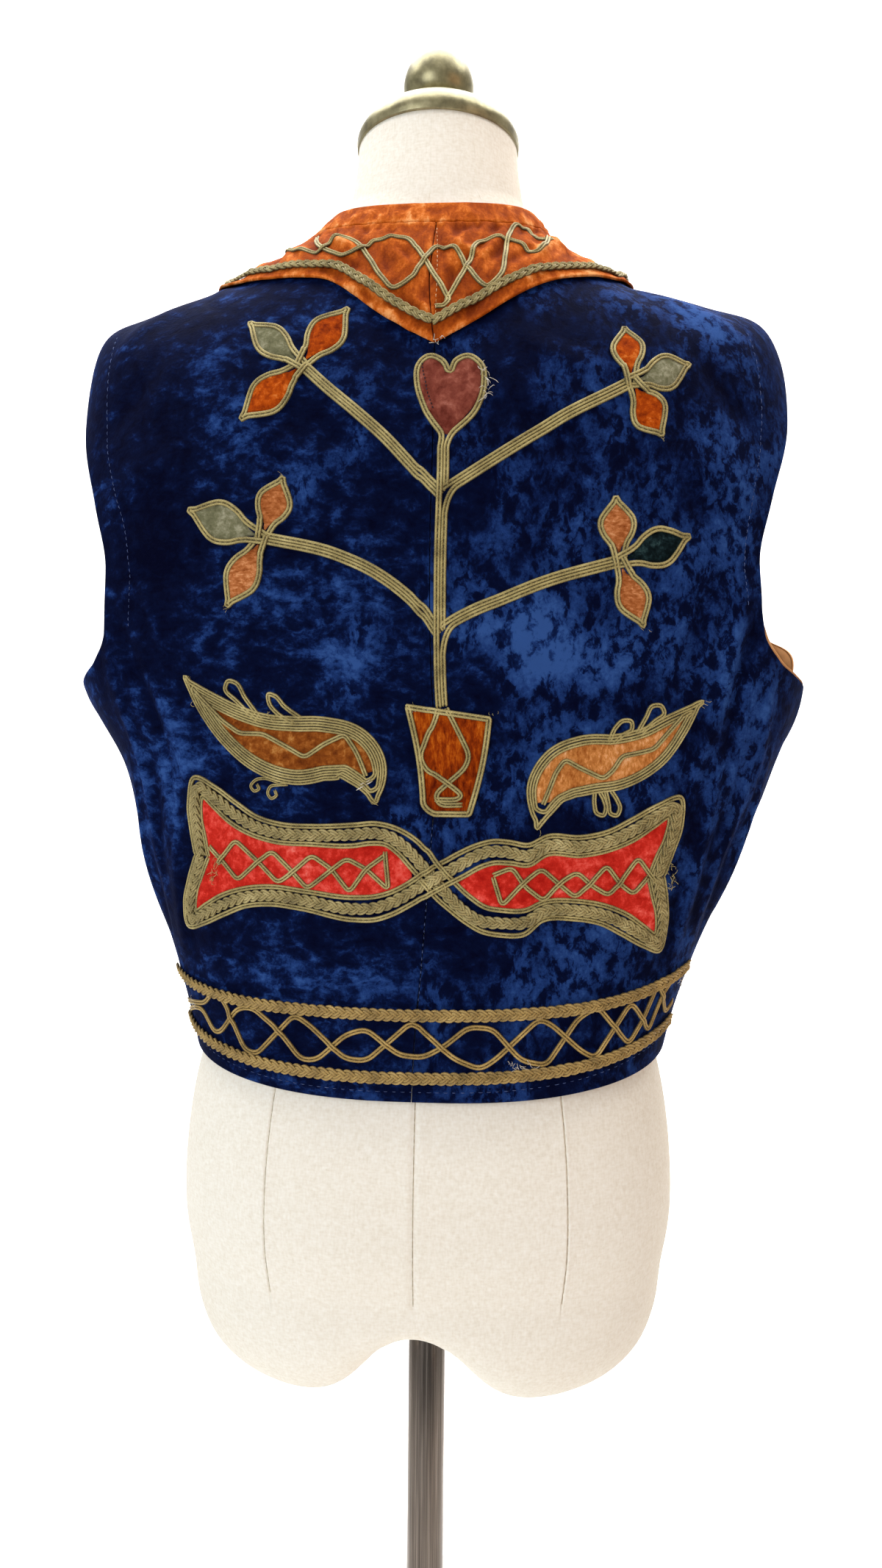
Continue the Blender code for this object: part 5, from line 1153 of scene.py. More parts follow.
collarLattice = [
    addBraid("collar_strand_under_soutache", [sweep(collarPaths["under"], soutacheSection, 3.2, liftUnder,
                                                    "collar")], finishes["braid"],
             ["collar_strand_under"]),
    addBraid("collar_strand_over_soutache", [
        sweep(collarPaths["over"], soutacheSection, 3.2, liftOver, "collar"),
        sweep(collarPaths["overEnd"], soutacheSection, 3.2, liftEnd, "collar"),
    ], finishes["braid"], ["collar_strand_over"]),
]

# ---- the tree
soutache = {"width": 3.65, "pair": 1.8}
stemMiddle = [(14.0, 1303.8), (13.0, 1270), (11.6, 1238.8), (10.1, 1199.3), (7.8, 1152.3)]
heartLine = [(13.2, 1308), (4.5, 1322), (0.6, 1337), (2.4, 1349.5), (9.8, 1354.6), (16.8, 1351.0),
             (20.1, 1344.6), (24.2, 1351.2), (31.8, 1354.0), (38.4, 1348.5), (39.1, 1336.5), (33.6, 1322),
             (19.0, 1308)]
heartOutline = [(15.7, 1305), (5.5, 1318), (-0.6, 1331), (-1.4, 1343), (3.5, 1353.6), (10, 1356.7),
                (16.6, 1353.8), (20.1, 1348), (24.6, 1353.4), (31.6, 1356.1), (38.9, 1351.6),
                (41.1, 1341), (38, 1328), (28.6, 1316)]
sprigs = {
    "upper_left": {
        "branch": [(12.5, 1273.5), (-4, 1289.5), (-20.5, 1307.5), (-36.5, 1322.5), (-52.5, 1336.5),
                   (-66.1, 1349.5)],
        "leaves": [((-36.0, 1388), 23, "leafOrange"), ((-100.5, 1377), 22, "greyGreen"),
                   ((-106, 1314), 22, "leafOrange")]},
    "lower_left": {
        "branch": [(9.5, 1194.5), (-1.5, 1209.5), (-13.5, 1220.5), (-25, 1228.5), (-48.5, 1239.5),
                   (-92.4, 1249.6)],
        "leaves": [((-78.9, 1285.2), 22, "salmon"), ((-141.2, 1265.9), 24, "greyGreen"),
                   ((-116.7, 1209.2), 22, "salmon")]},
    "upper_right": {
        "branch": [(13.5, 1275), (23.0, 1281), (54.5, 1300.3), (83.9, 1316.6), (124.8, 1332.2)],
        "leaves": [((125.6, 1367.3), 21, "leafOrange"), ((165.2, 1337.1), 20, "greyGreen"),
                   ((141.6, 1300.6), 23, "leafOrange")]},
    "lower_right": {
        "branch": [(10.5, 1196.5), (19, 1202), (31, 1208), (45, 1213.5), (73.4, 1224.5), (114.3, 1235.7)],
        "leaves": [((112.3, 1272.6), 22, "salmon"), ((158.8, 1250.1), 22, "darkGreen"),
                   ((128.3, 1197.8), 21, "salmon")]},
}
# Half widths of a leaf, as a share of its widest, at shares of its length.
leafShape = np.array([(0.0, 0.10), (0.1, 0.38), (0.2, 0.66), (0.3, 0.87), (0.4, 1.0), (0.5, 1.06),
                      (0.6, 1.0), (0.7, 0.80), (0.8, 0.54), (0.9, 0.28), (1.0, 0.04)])


# A path moved to its left by a distance.
def beside(path, distance):
    ahead = unit(aheadOf(path))
    return path + np.stack([-ahead[:, 1], ahead[:, 0]], axis=1) * np.asarray(distance).reshape(-1, 1)


# Both sides of a leaf from its foot to its tip, at a distance inside its outline.
def leafSides(foot, tip, width, within):
    foot, tip = np.array(foot, float), np.array(tip, float)
    along = unit(tip - foot)
    across = np.array([-along[1], along[0]])
    shares, shape = leafShape.T
    half = np.maximum(shape * width / 2 - within, 0.5)[:, None]
    middle = foot + (tip - along * within * 0.8 - foot) * shares[:, None]
    return middle + across * half, middle - across * half, along


stem = curveThrough(stemMiddle, 1.0)
stemLeft, stemRight = beside(stem, -soutache["pair"]), beside(stem, soutache["pair"])
# On the right each branch's lower braid turns down, between these levels, as the stem's right braid.
turnedDown = {"upper_right": (1197, 1263), "lower_right": (1153, 1187)}
leafPatches, leafRims, branches = [], [], []
for place, sprig in sprigs.items():
    branch = curveThrough(sprig["branch"], 1.0)
    node = branch[-1]
    rims = []
    for number, (tip, width, colour) in enumerate(sprig["leaves"], 1):
        away = unit(np.array(tip) - node)
        foot = node + away * 4.5
        left, right, along = leafSides(foot, tip, width, 2.6)
        leafPatches.append(addPatch(f"leaf_{place}_{number}_velvet", np.vstack([right, left[::-1]]),
                                    finishes[colour], [f"leaf_{place}_{number}"],
                                    plump=0.7))
        left, right, along = leafSides(foot, tip, width, soutache["width"] / 2)
        across = np.array([-along[1], along[0]])
        ends = [node - away * 2.0 + across * side for side in (-2.0, 2.0)]
        loop = np.vstack([ends[0], right[2:-1], np.array(tip) - along * 2.4, left[2:-1][::-1], ends[1]])
        path = curveThrough(loop, 1.0)
        lift = np.zeros(len(path))
        lift[-12:] = 1.1
        rims.append(sweep(path, soutacheSection, soutache["width"], lift))
    leafRims.append(addBraid(f"leaf_rims_{place}_soutache", rims, finishes["braid"]))
    lower, upper = beside(branch, -soutache["pair"]), beside(branch, soutache["pair"])
    if place in turnedDown:
        low, high = turnedDown[place]
        along = stemRight[(stemRight[:, 1] > low) & (stemRight[:, 1] < high)][::-1]
        lower = curveThrough(np.vstack([along[::6], lower[8::4], lower[-1:]]), 1.0)
    pair = [sweep(path, soutacheSection, soutache["width"]) for path in (lower, upper)]
    branches.append(addBraid(f"branch_{place}_soutache", pair, finishes["braid"], [f"branch_{place}"]))
heartPath = curveThrough(heartLine, 1.0)
whole = np.vstack([stemLeft[:3:-1], heartPath, stemRight[(stemRight[:, 1] < 1300)
                                                         & (stemRight[:, 1] > 1277)]])
whole = curveThrough(whole[::3], 1.0)
overBranches = sum(np.exp(-((whole[:, 1] - h) / 9) ** 2) for h in (1275, 1197))
treeStem = addBraid("tree_stem_soutache", [sweep(whole, soutacheSection, soutache["width"],
                                                 0.1 + 1.0 * overBranches)], finishes["braid"],
                    ["tree_stem"])
heart = addPatch("heart_velvet", inset(curveThrough(heartOutline, 3.0, closed=True), 2.4),
                 finishes["brown"], ["heart"], plump=0.9)
potCorners = [(-14.3, 1155.0), (-6.5, 1095.0), (0.5, 1088.4), (24.5, 1088.4), (37.0, 1147.5)]
potOutline = roundedRun(potCorners, 1.0, 3.0, closed=True)
pot = addPatch("pot_velvet", inset(potOutline, 1.0)[::2], finishes["rust"], ["pot"],
               plump=0.5)
potRim = addBraid("pot_rim_soutache", [sweep(inset(potOutline, 2.2), soutacheSection, soutache["width"],
                                             0.9, closed=True)], finishes["braid"])
loopLeft = roundedRun([(6, 1151.5), (-7.5, 1124.5), (-4.5, 1117), (9, 1108.5), (18, 1101.5),
                       (14.5, 1098.8), (2, 1099)], 1.0, 4.0)
loopRight = roundedRun([(10.5, 1151.5), (21.5, 1124.5), (18.5, 1117), (9, 1108.5), (1.5, 1101.5),
                        (5.5, 1095.6), (18, 1096)], 1.0, 4.0)
liftLeft, liftRight = weave(loopLeft, loopRight)
potLoop = addBraid("pot_loop_soutache", [sweep(loopLeft, soutacheSection, 3.2, liftLeft + 0.7),
                                         sweep(loopRight, soutacheSection, 3.2, liftRight + 0.7)],
                   finishes["braid"], ["pot_loop"])
print("tree made")

# ---- the birds
birds = {
    "left": {
        "spine": [(-147, 1171, 1.0), (-134, 1155.5, 8.5), (-118, 1141, 14.5), (-100, 1131, 18.5),
                  (-81, 1127, 20.5), (-63, 1128, 19.0), (-48, 1125.5, 17.0), (-38.5, 1115, 13.0),
                  (-34.5, 1105, 7.0), (-33.5, 1096, 1.0)],
        "rings": [(1.6, 0.0, 1.0), (4.75, 0.05, 0.955), (7.9, 0.11, 0.91)], "patch": (8.4, 0.15, 0.88),
        "wave": [(-140, 1162), (-125, 1145), (-115, 1137.5), (-100, 1137), (-86.5, 1129.5), (-75.5, 1123),
                 (-63, 1131), (-50.5, 1136.5), (-44.5, 1126.5), (-39, 1112.5)],
        "wings": [[(-103, 1144.5), (-114, 1156), (-120.5, 1164), (-118, 1168), (-113.5, 1167),
                   (-108.5, 1158), (-100, 1145)], [(-80.5, 1143), (-90, 1149), (-94, 1155), (-93.5, 1160),
                                                   (-90, 1159), (-85, 1153), (-76, 1146)]],
        "feet": [[(-92.5, 1108.5), (-101, 1110.5), (-106.5, 1109.5), (-109.3, 1106), (-107, 1103),
                  (-104, 1104.5), (-105.5, 1106.7)], [(-86.5, 1107), (-92, 1106.7), (-96.8, 1105.7),
                                                      (-98.2, 1101.8), (-95.7, 1098.7), (-92.7, 1100.7),
                                                      (-94, 1103.2)]],
        "finish": "tawny"},
    "right": {
        "spine": [(162, 1159, 1.0), (144, 1143.5, 8.5), (126, 1129.5, 13.5), (107, 1122, 16.5),
                  (90, 1120, 17.5), (76, 1115, 16.5), (67.5, 1106, 13.5), (64.5, 1095, 8.5),
                  (63.5, 1083, 1.0)],
        "rings": [(1.6, 0.0, 1.0), (4.8, 0.06, 0.94)], "patch": (5.8, 0.10, 0.90),
        "wave": [(149, 1150), (140, 1141), (129.5, 1130), (120, 1127.5), (110, 1125.5), (105, 1117.5),
                 (99, 1112), (84.5, 1118.5), (76.5, 1123), (71, 1115), (65, 1097)],
        "wings": [[(103, 1134), (107.5, 1142), (112.5, 1146), (117, 1145.5), (117, 1141.5), (111, 1137.5),
                   (106, 1133)], [(120, 1139), (126, 1148), (131, 1155), (136, 1155), (137.5, 1151.5),
                                  (131, 1146), (122, 1138.5)]],
        "feet": [[(94.5, 1104.5), (95, 1097), (97, 1092), (101, 1091), (102, 1095), (100.5, 1099.5),
                  (97.5, 1104.5)], [(101, 1105), (103.5, 1097), (105, 1092), (109, 1091), (110.5, 1095),
                                    (108.5, 1099.5), (104.5, 1105)]],
        "finish": "apricot"},
}
birdWidths = {"rim": 2.95, "wave": 2.9, "limb": 2.8, "curl": 2.0}


# The outline round a bird at a distance within it, between shares of its spine.
def birdLine(spine, within, start, end, narrowest=0.7):
    rows = curveThrough(spine, 1.0)
    share = np.linspace(0, 1, len(rows))
    rows = rows[(share >= start) & (share <= end)]
    half = np.maximum(rows[:, 2] - within, narrowest)
    left, right = beside(rows[:, :2], half), beside(rows[:, :2], -half)
    return np.vstack([left, right[::-1]])


for name, bird in birds.items():
    rings = [sweep(curveThrough(birdLine(bird["spine"], *ring)[::4], 1.0, closed=True), soutacheSection,
                   birdWidths["rim"], closed=True) for ring in bird["rings"]]
    addBraid(f"bird_{name}_rim_soutache", rings, finishes["braid"], [f"bird_{name}_rim"])
    line = birdLine(bird["spine"], *bird["patch"])
    addPatch(f"bird_{name}_velvet", line[::3], finishes[bird["finish"]],
                               [f"bird_{name}_patch"], plump=0.8)
    wave = roundedRun(bird["wave"], 1.0, 3.0)
    addBraid(f"bird_{name}_zigzag_soutache",
                               [sweep(wave, soutacheSection, birdWidths["wave"], 1.1)], finishes["braid"],
                               [f"bird_{name}_zigzag"])
    for part in ("wings", "feet"):
        width = birdWidths["curl"] if (name, part) == ("left", "feet") else birdWidths["limb"]
        loops = [sweep(curveThrough(loop, 0.7), soutacheSection, width) for loop in bird[part]]
        addBraid(f"bird_{name}_{part}_soutache", loops, finishes["braid"],
                                   [f"bird_{name}_{part}"])
print("birds made")

# ---- the crossed bands
# The outer part of one quarter of the figure, to the middle of its tail, as the band's two edges.
bandQuarter = np.array([
    # along the outer edge, to its side, along the inner edge, to its side
    (72.0, 26.5, 72.0, 12.0), (92.0, 26.0, 94.0, 11.5),
    (108.0, 29.0, 111.0, 14.5), (124.0, 37.0, 127.0, 20.5), (140.0, 45.0, 138.0, 28.0),
    (156.0, 49.5, 146.5, 34.0), (159.0, 34.0, 145.5, 22.0), (155.5, 15.0, 141.0, 12.0),
    (151.0, 0.2, 136.5, 0.2),
])
crossingMiddle = (1.0, 1053.0)
fishes = {"left": (-1, 4.0, 0.99), "right": (1, 0.5, 0.955)}   # direction, tilt, length


def fishPoints(name, along, side):
    direction, tilt, length = fishes[name]
    tilt = math.radians(tilt)
    along, side = np.asarray(along, float) * length, np.asarray(side, float)
    return np.stack([
        crossingMiddle[0] + direction * (along * math.cos(tilt) - side * math.sin(tilt)),
        crossingMiddle[1] + along * math.sin(tilt) + side * math.cos(tilt),
    ], axis=-1)


bandShares = {"outer": 0.14, "plait": 0.5, "inner": 0.86}
# The middle of each strand where the two bands cross.
crossingStrands = {
    ("under", "outer"): [(-44, 1083.5), (-31, 1084.5), (-19.5, 1082), (-11, 1078), (-0.5, 1070),
                         (7.5, 1061), (15.5, 1053), (28, 1042), (37, 1036.5), (46, 1035), (60, 1035)],
    ("under", "plait"): [(-44, 1078), (-31, 1079), (-22, 1077), (-14, 1072), (-6.5, 1065.5), (0, 1058.5),
                         (4.5, 1053), (11, 1046.5), (17.5, 1040), (24.5, 1034), (33, 1029), (46, 1027.5),
                         (60, 1028)],
    ("under", "inner"): [(-43, 1071.5), (-33, 1073), (-24.5, 1072.5), (-16.5, 1067.5), (-9.5, 1060.5),
                         (-1.5, 1052), (3, 1046.5), (8.5, 1041), (16, 1035), (25.5, 1028), (35.5, 1022.5),
                         (46, 1020.5), (60, 1021)],
    ("over", "outer"): [(-40, 1028), (-27, 1028.5), (-17, 1032), (-8, 1037), (4.5, 1044.5), (15, 1050.5),
                        (23.5, 1055), (32, 1060), (39.5, 1062.5), (49, 1062.5), (60, 1061.5)],
    ("over", "plait"): [(-40, 1034.5), (-27, 1035.5), (-17.5, 1039), (-8.5, 1044), (-1.5, 1048.5),
                        (5.5, 1052.5), (14, 1057.5), (21, 1061.5), (28, 1066), (36, 1069), (46, 1069),
                        (60, 1067)],
    ("over", "inner"): [(-41, 1041), (-27.5, 1042), (-18, 1045), (-10.5, 1049), (-2, 1055), (4.5, 1059.5),
                        (11, 1063), (19.5, 1068), (29, 1072.5), (38.5, 1075), (48, 1074.5), (59, 1073)],
}
# Which band lies on top where their strands meet.
topBand = {("outer", "outer"): 1, ("plait", "outer"): 1, ("inner", "outer"): 1, ("outer", "plait"): 0,
           ("plait", "plait"): 1, ("inner", "plait"): 0, ("outer", "inner"): 0, ("plait", "inner"): 1,
           ("inner", "inner"): 1}
bandPaths = {}
for name, side in (("under", 1), ("over", -1)):
    edges = []
    for fish, turn in (("left", side), ("right", -side)):
        edges += [fishPoints(fish, bandQuarter[:, i], turn * bandQuarter[:, i + 1]) for i in (0, 2)]
    leftOuter, leftInner, rightOuter, rightInner = edges
    for part, share in bandShares.items():
        start = leftOuter + (leftInner - leftOuter) * share
        end = rightInner + (rightOuter - rightInner) * share
        bandPaths[name, part] = curveThrough(np.vstack([start[::-1], crossingStrands[name, part], end]),
                                             1.0)
bandLifts = {key: np.zeros(len(path)) for key, path in bandPaths.items()}
for (first, second), over in topBand.items():
    pair = ("under", first), ("over", second)
    lower = (second, first)[over]
    rises = weave(bandPaths[pair[0]], bandPaths[pair[1]], over=over,
                  rise=2.3 if lower == "plait" else 1.5, spread=4.0)
    for key, rise in zip(pair, rises):
        bandLifts[key] = np.maximum(bandLifts[key], rise)
for name in ("under", "over"):
    edging = [sweep(bandPaths[name, part], soutacheSection, 3.25, bandLifts[name, part])
              for part in ("outer", "inner")]
    addBraid(f"crossed_edging_{name}_soutache", edging, finishes["braid"])
    cords = plait(bandPaths[name, "plait"], lifts=bandLifts[name, "plait"], scale=0.96, phase=1.1)
    addBraid(f"crossed_band_{name}_cords", cords, finishes["cord"],
                                  [f"crossed_band_{name}"])
# Corners of the two zigzags inside each fish; both end at its closed side.
fishLattice = {
    "left": {"under": [(-24, 1066), (-34.5, 1058), (-43.5, 1044), (-55, 1057.5), (-67.5, 1065.5),
                       (-80.5, 1053.5), (-87.5, 1048.5), (-100.5, 1060.5), (-117, 1073.5), (-128, 1059)],
             "over": [(-24, 1068), (-20.5, 1046), (-34.5, 1058), (-46.5, 1064), (-58, 1054.5),
                      (-69, 1045.5), (-80.5, 1057), (-92.5, 1067.5), (-103, 1059), (-114, 1049),
                      (-124.5, 1060), (-135, 1069)]},
    "right": {"under": [(40, 1054), (46, 1037.5), (58, 1051.5), (67.5, 1059.5), (79, 1050),
                        (88.5, 1042.5), (97.5, 1051.5), (106, 1061.5), (115.5, 1050), (124, 1044),
                        (132.5, 1054)], "over": [(40, 1055.5), (50.5, 1060), (58.5, 1049), (70, 1040.5),
                                                 (79, 1051.5), (88.5, 1057.5), (98, 1049.5),
                                                 (108.5, 1043.5), (115.5, 1052), (125, 1066),
                                                 (133.5, 1056), (142, 1047)]},
}
for name, part, side, tip in (("left", "inner", -1, 7.0), ("right", "outer", 1, 18.5)):
    halves = []
    for band in ("under", "over"):
        path = bandPaths[band, part][::-side]
        halves.append(path[path[:, 0] * side > tip])
    outline = curveThrough(np.vstack([halves[0], halves[1][::-1][1:]])[::3], 2.5, closed=True)
    addPatch(f"crossed_patch_{name}_velvet", outline, finishes["coral"],
                                  [f"crossed_patch_{name}"], plump=0.6)
    paths = [roundedRun(fishLattice[name][part], 1.0, 3.6) for part in ("under", "over")]
    rises = weave(*paths)
    for part, path, rise in zip(("under", "over"), paths, rises):
        piece = addBraid(f"crossed_strand_{name}_{part}_soutache",
                         [sweep(path, soutacheSection, 2.9, rise + 0.8)], finishes["braid"],
                         [f"crossed_strand_{name}_{part}"])
print("crossed bands made")

# ---- the dress form and its stand
formShape = {"seamWidth": 2.4, "seamHeight": 0.5, "grooveWidth": 0.55, "grooveDepth": 1.1,
             "seams": (-180, -151, -90, -29, 0, 29, 90, 151), "dipHeight": 0.056, "dipWidth": 0.036,
             "shoulderGap": 0.003, "top": 1.535}
underside = [(0.05, 0.7285), (0.35, 0.729), (0.58, 0.727), (0.78, 0.733), (0.91, 0.750), (0.975, 0.773)]
neckRings = [(0.0590, 1.480, 1.494, 1.457), (0.0572, 1.496, 1.504, 1.482), (0.0550, 1.517, 1.519, 1.515),
             (0.0535, 1.535, 1.535, 1.535)]
formTurns = [np.linspace(-180, 180, 145)[:-1]]
for seam in formShape["seams"]:
    formTurns.append(seam + np.array([-3.4, -2.2, -1.4, -0.8, -0.4, 0, 0.4, 0.8, 1.4, 2.2, 3.4]) * 0.44)
formTurns = np.unique(np.round((np.concatenate(formTurns) + 180) % 360 - 180, 3))
nearest = np.min(np.abs((formTurns[:, None] - np.array(formShape["seams"])[None] + 180) % 360 - 180),
                 axis=1) / 0.44
seamRise = formShape["seamHeight"] / 1000 * np.exp(-(nearest / formShape["seamWidth"]) ** 2)
seamRise -= formShape["grooveDepth"] / 1000 * np.exp(-(nearest / formShape["grooveWidth"]) ** 2)
rows = []
lowest = ringPoints(formRings, formTurns, 0.800)
heights = smoothRows(np.array(underside + [(1.0, 0.800)]), 34)[:-1]
for scale, height in heights:
    ring = lowest * (scale, scale, 0)
    notch = formShape["dipHeight"] * np.exp(-(ring[:, 0] / formShape["dipWidth"]) ** 2) * (1 - scale**8)
    ring[:, 2] = height + notch
    rows.append(ring)
for level in np.concatenate([np.arange(0.800, 0.96, 0.004), np.arange(0.96, 1.345, 0.012), [1.350]]):
    rows.append(ringPoints(formRings, formTurns, level) + ringNormals(formRings, formTurns, level)
                * seamRise[:, None])
for level in (1.375, 1.386, 1.396, 1.406, 1.416, 1.426, 1.435, 1.444, 1.453, 1.461, 1.4685):
    lift = seamRise * 0.4 - formShape["shoulderGap"]
    rows.append(ringPoints(vestRings, formTurns, level) + ringNormals(vestRings, formTurns, level)
                * lift[:, None])
side, end = np.sin(np.radians(formTurns)), np.cos(np.radians(formTurns))
for radius, back, sideHeight, front in smoothRows(np.array(neckRings), 18):
    height = sideHeight + (np.where(end > 0, back, front) - sideHeight) * end**2
    ring = np.stack([radius * side, -radius * end, height], axis=1)
    rows.append(ring + np.stack([side, -end, 0 * end], axis=1) * (seamRise * 0.15)[:, None])


# Rings joined into one closed piece, with a fan to a middle point at each end.
def addRings(name, rows, ends, finish, replaced):
    count, around = rows.shape[:2]
    points = np.concatenate([rows.reshape(-1, 3), [(0, 0, height) for height in ends]])
    index = numbered(count, around)
    fans = [np.stack([np.full(around, count * around), np.roll(index[0], -1), index[0]], axis=1),
            np.stack([np.full(around, count * around + 1), index[-1], np.roll(index[-1], -1)], axis=1)]
    return addPiece(name, points, [gridQuads(index, wrapColumns=True), np.concatenate(fans)], finish,
                    replaced)


# A round piece about the stand's axis, from (radius, height) rows that begin and end on it.
def addTurned(name, profile, finish, replaced, sides=96):
    angles = np.arange(sides) * 2 * math.pi / sides
    radii, heights = np.array(profile, float)[1:-1, :, None].swapaxes(0, 1)
    ring = np.stack(np.broadcast_arrays(radii * np.sin(angles), -radii * np.cos(angles), heights), axis=-1)
    return addRings(name, ring, (profile[0][1], profile[-1][1]), finish, replaced)


rows = np.array(rows)
dressForm = addRings("form_torso_linen", rows, (rows[0, :, 2].mean(), formShape["top"]), finishes["linen"],
                     ["form_torso"])
capLine = curveThrough([(0.0545, 1.5353), (0.0550, 1.541), (0.0525, 1.547), (0.0465, 1.553),
                        (0.0385, 1.5580), (0.0285, 1.5615), (0.0170, 1.5635)], 0.0012)
knobLine = curveThrough([(0.0170, 1.5638), (0.0190, 1.5665), (0.0178, 1.5685), (0.0205, 1.5705),
                         (0.0237, 1.5780), (0.0228, 1.5875), (0.0180, 1.5965), (0.0095, 1.6015),
                         (0.001, 1.6030)], 0.0008)
neckCap = addTurned("form_neck_cap_paint", [(0, 1.5353), *capLine, (0, 1.5637)], finishes["bronze"],
                    ["form_neck_cap"])
knob = addTurned("form_knob_paint", [(0, 1.5638), *knobLine, (0, 1.6030)], finishes["bronze"],
                 ["form_knob"])
pole = addTurned("stand_pole_tube", [(0, 0.0123), (0.0118, 0.0123), (0.0125, 0.013), (0.0125, 0.300),
                                     (0.0125, 0.600), (0.0125, 0.8490), (0.0118, 0.8497), (0, 0.8497)],
                 finishes["steel"], ["stand_pole"])
# The stand's rounded edges: the base's lower and upper one and the hub's.
plateShape = {"radius": 0.170, "top": 0.012, "hubRadius": 0.028, "hubTop": 0.045, "bend": 0.003}


def roundedEdge(radius, height, start):
    angles, bend = np.linspace(start, start + math.pi / 2, 6), plateShape["bend"]
    return [(radius - bend + bend * math.cos(a), height + bend * math.sin(a)) for a in angles]


baseEdge = roundedEdge(plateShape["radius"], plateShape["bend"], -math.pi / 2)
baseTop = roundedEdge(plateShape["radius"], plateShape["top"] - plateShape["bend"], 0)
hubTop = roundedEdge(plateShape["hubRadius"], plateShape["hubTop"] - plateShape["bend"], 0)
base = addTurned("stand_base_plate", [(0, 0), (0.08, 0), *baseEdge, *baseTop, (0.030, 0.012),
                                      (0.028, 0.0135), *hubTop, (0.0129, 0.045), (0.0129, 0.0121),
                                      (0, 0.0121)], finishes["steel"], ["stand_base"],
                 sides=128)
print("form and stand made")

# ---- stitches and loose threads
seamLine = np.stack([seamAt(np.arange(1085, 975, -2) / 1000), np.arange(1085, 975, -2)], axis=1)
runs = stitches(seamLine, 4.0, 0.45, 0.0, seed=11)
collarSeam = np.stack([seamAt(np.arange(1448, 1366, -2) / 1000), np.arange(1448, 1366, -2)], axis=1)
armLeft = curveThrough([(-219.5, 1352), (-217.5, 1348.5), (-208, 1299), (-187, 1254), (-185, 1215),
                        (-187, 1198)], 1.0)
armRight = curveThrough([(219.5, 1347), (218.7, 1340), (213.7, 1304.7), (199.2, 1264.5), (194, 1232),
                         (196, 1212)], 1.0)
hemStitch = np.stack([hemPaths["lower"][:, 0], hemPaths["lower"][:, 1] - 8], axis=1)
heartStitch = np.array([(4.2, 1351), (5.2, 1342), (6.0, 1334), (7.6, 1327), (9.6, 1320.5)])
potStitch = np.array([(-11.5, 1149), (-4, 1150.8), (3.5, 1150.5)])
formSeams = []
for seam in formShape["seams"]:
    at = np.arange(0.802, 0.958, 0.0015)
    line = ringPoints(formRings, seam, at) - ringNormals(formRings, seam, at) * 0.0004
    formSeams += [line[i:i + 5] for i in range(0, len(line) - 4, 4)]
looseEnds = [   # places, reach, fibres at each, seed, thickness, finish
    ("heart_frays", [(41, 1346), (41.5, 1340), (40.5, 1334), (39, 1328)], 7.0, 4, 31, 0.16, "cottonFluff"),
    ("pot_frays", [(-9, 1152.5), (11, 1152), (6, 1151), (36, 1148)], 2.6, 4, 32, 0.10, "braidEnd"),
    ("bird_frays", [(-146, 1170), (-142, 1158), (-95, 1149), (-93, 1147), (161, 1160), (-34, 1097),
                    (63.5, 1084)], 5.0, 4, 33, 0.13, "braidEnd"),
    ("band_frays", [(-131, 1054), (-130, 1050), (-129, 1058), (150, 1051), (149, 1056), (147, 1046),
                    (-128, 1063), (146, 1062)], 5.0, 6, 34, 0.14, "braidEnd"),
    ("hem_frays", [(55.5, 944.5), (60, 943), (66, 942), (179, 984), (180, 978), (-158, 962)], 5.5, 5, 35,
     0.15, "cottonFluff"), ("leaf_frays", [(141, 1301), (128, 1198), (-116, 1210), (-79, 1285)], 3.0, 3, 36,
                      0.10, "braidEnd"),
]
threadPieces = [
    addThreads("centre_seam_stitches", runs, 0.28, finishes["blueThread"]),
    addThreads("armhole_stitches", stitches(armLeft, 3.4, 0.6, 0.1, seed=12)
               + stitches(armRight, 3.4, 0.6, 0.1, seed=13), 0.22, finishes["blueThread"]),
    addThreads("collar_seam_stitches", stitches(collarSeam, 3.6, 0.6, 0.25, seed=19, kind="collar"), 0.25,
               finishes["collarThread"]),
    addThreads("hem_stitches", stitches(hemStitch, 5.0, 0.5, 0.05, seed=14), 0.18, finishes["blueThread"]),
    addThreads("heart_stitches", stitches(heartStitch, 2.2, 0.6, 1.25, seed=15), 0.35,
               finishes["darkThread"]),
    addThreads("pot_stitches", stitches(potStitch, 2.4, 0.6, 0.95, seed=16), 0.25, finishes["cottonFluff"]),
    addThreads("beak_stitches", stitches(np.array([(-46.5, 1102.5), (-38, 1107.5), (-30, 1112)]), 5.8,
                                         0.85, 1.6, seed=17)
               + stitches(np.array([(-44, 1106.5), (-38, 1109), (-33, 1112.5)]), 4.0, 0.8, 1.6, seed=18),
               0.32, finishes["cottonFluff"]),
]
threadPieces += [
    addThreads(name, fray(spots, reach, count, seed), radius, finishes[finish], sides=4)
    for name, spots, reach, count, seed, radius, finish in looseEnds
]
collarFluff = addThreads("collar_frays", fray([(-147, 1437), (-145, 1434), (12.5, 1361.5),
                                               (14.5, 1361.5)], 4.0, 4, 37, "collar"), 0.15,
                         finishes["cottonFluff"], sides=4)
formThreads = addThreads("form_seam_stitches", formSeams, 0.3, finishes["brownThread"],
                         sides=4)
print("threads made")

# ---- floor, backdrop, lights and camera
sweepLine = [(-3.0, 0.0), (0.9, 0.0)]
sweepLine += [(0.9 + 0.9 * math.sin(a), 0.9 - 0.9 * math.cos(a)) for a in np.linspace(0.1, math.pi / 2, 14)]
sweepLine += [(1.8, 5.0)]
grid = np.array([[(x, y, z) for x in np.linspace(-4, 4, 9)] for y, z in sweepLine])
backdropMaterial, _ = newMaterial("paintedPaper")
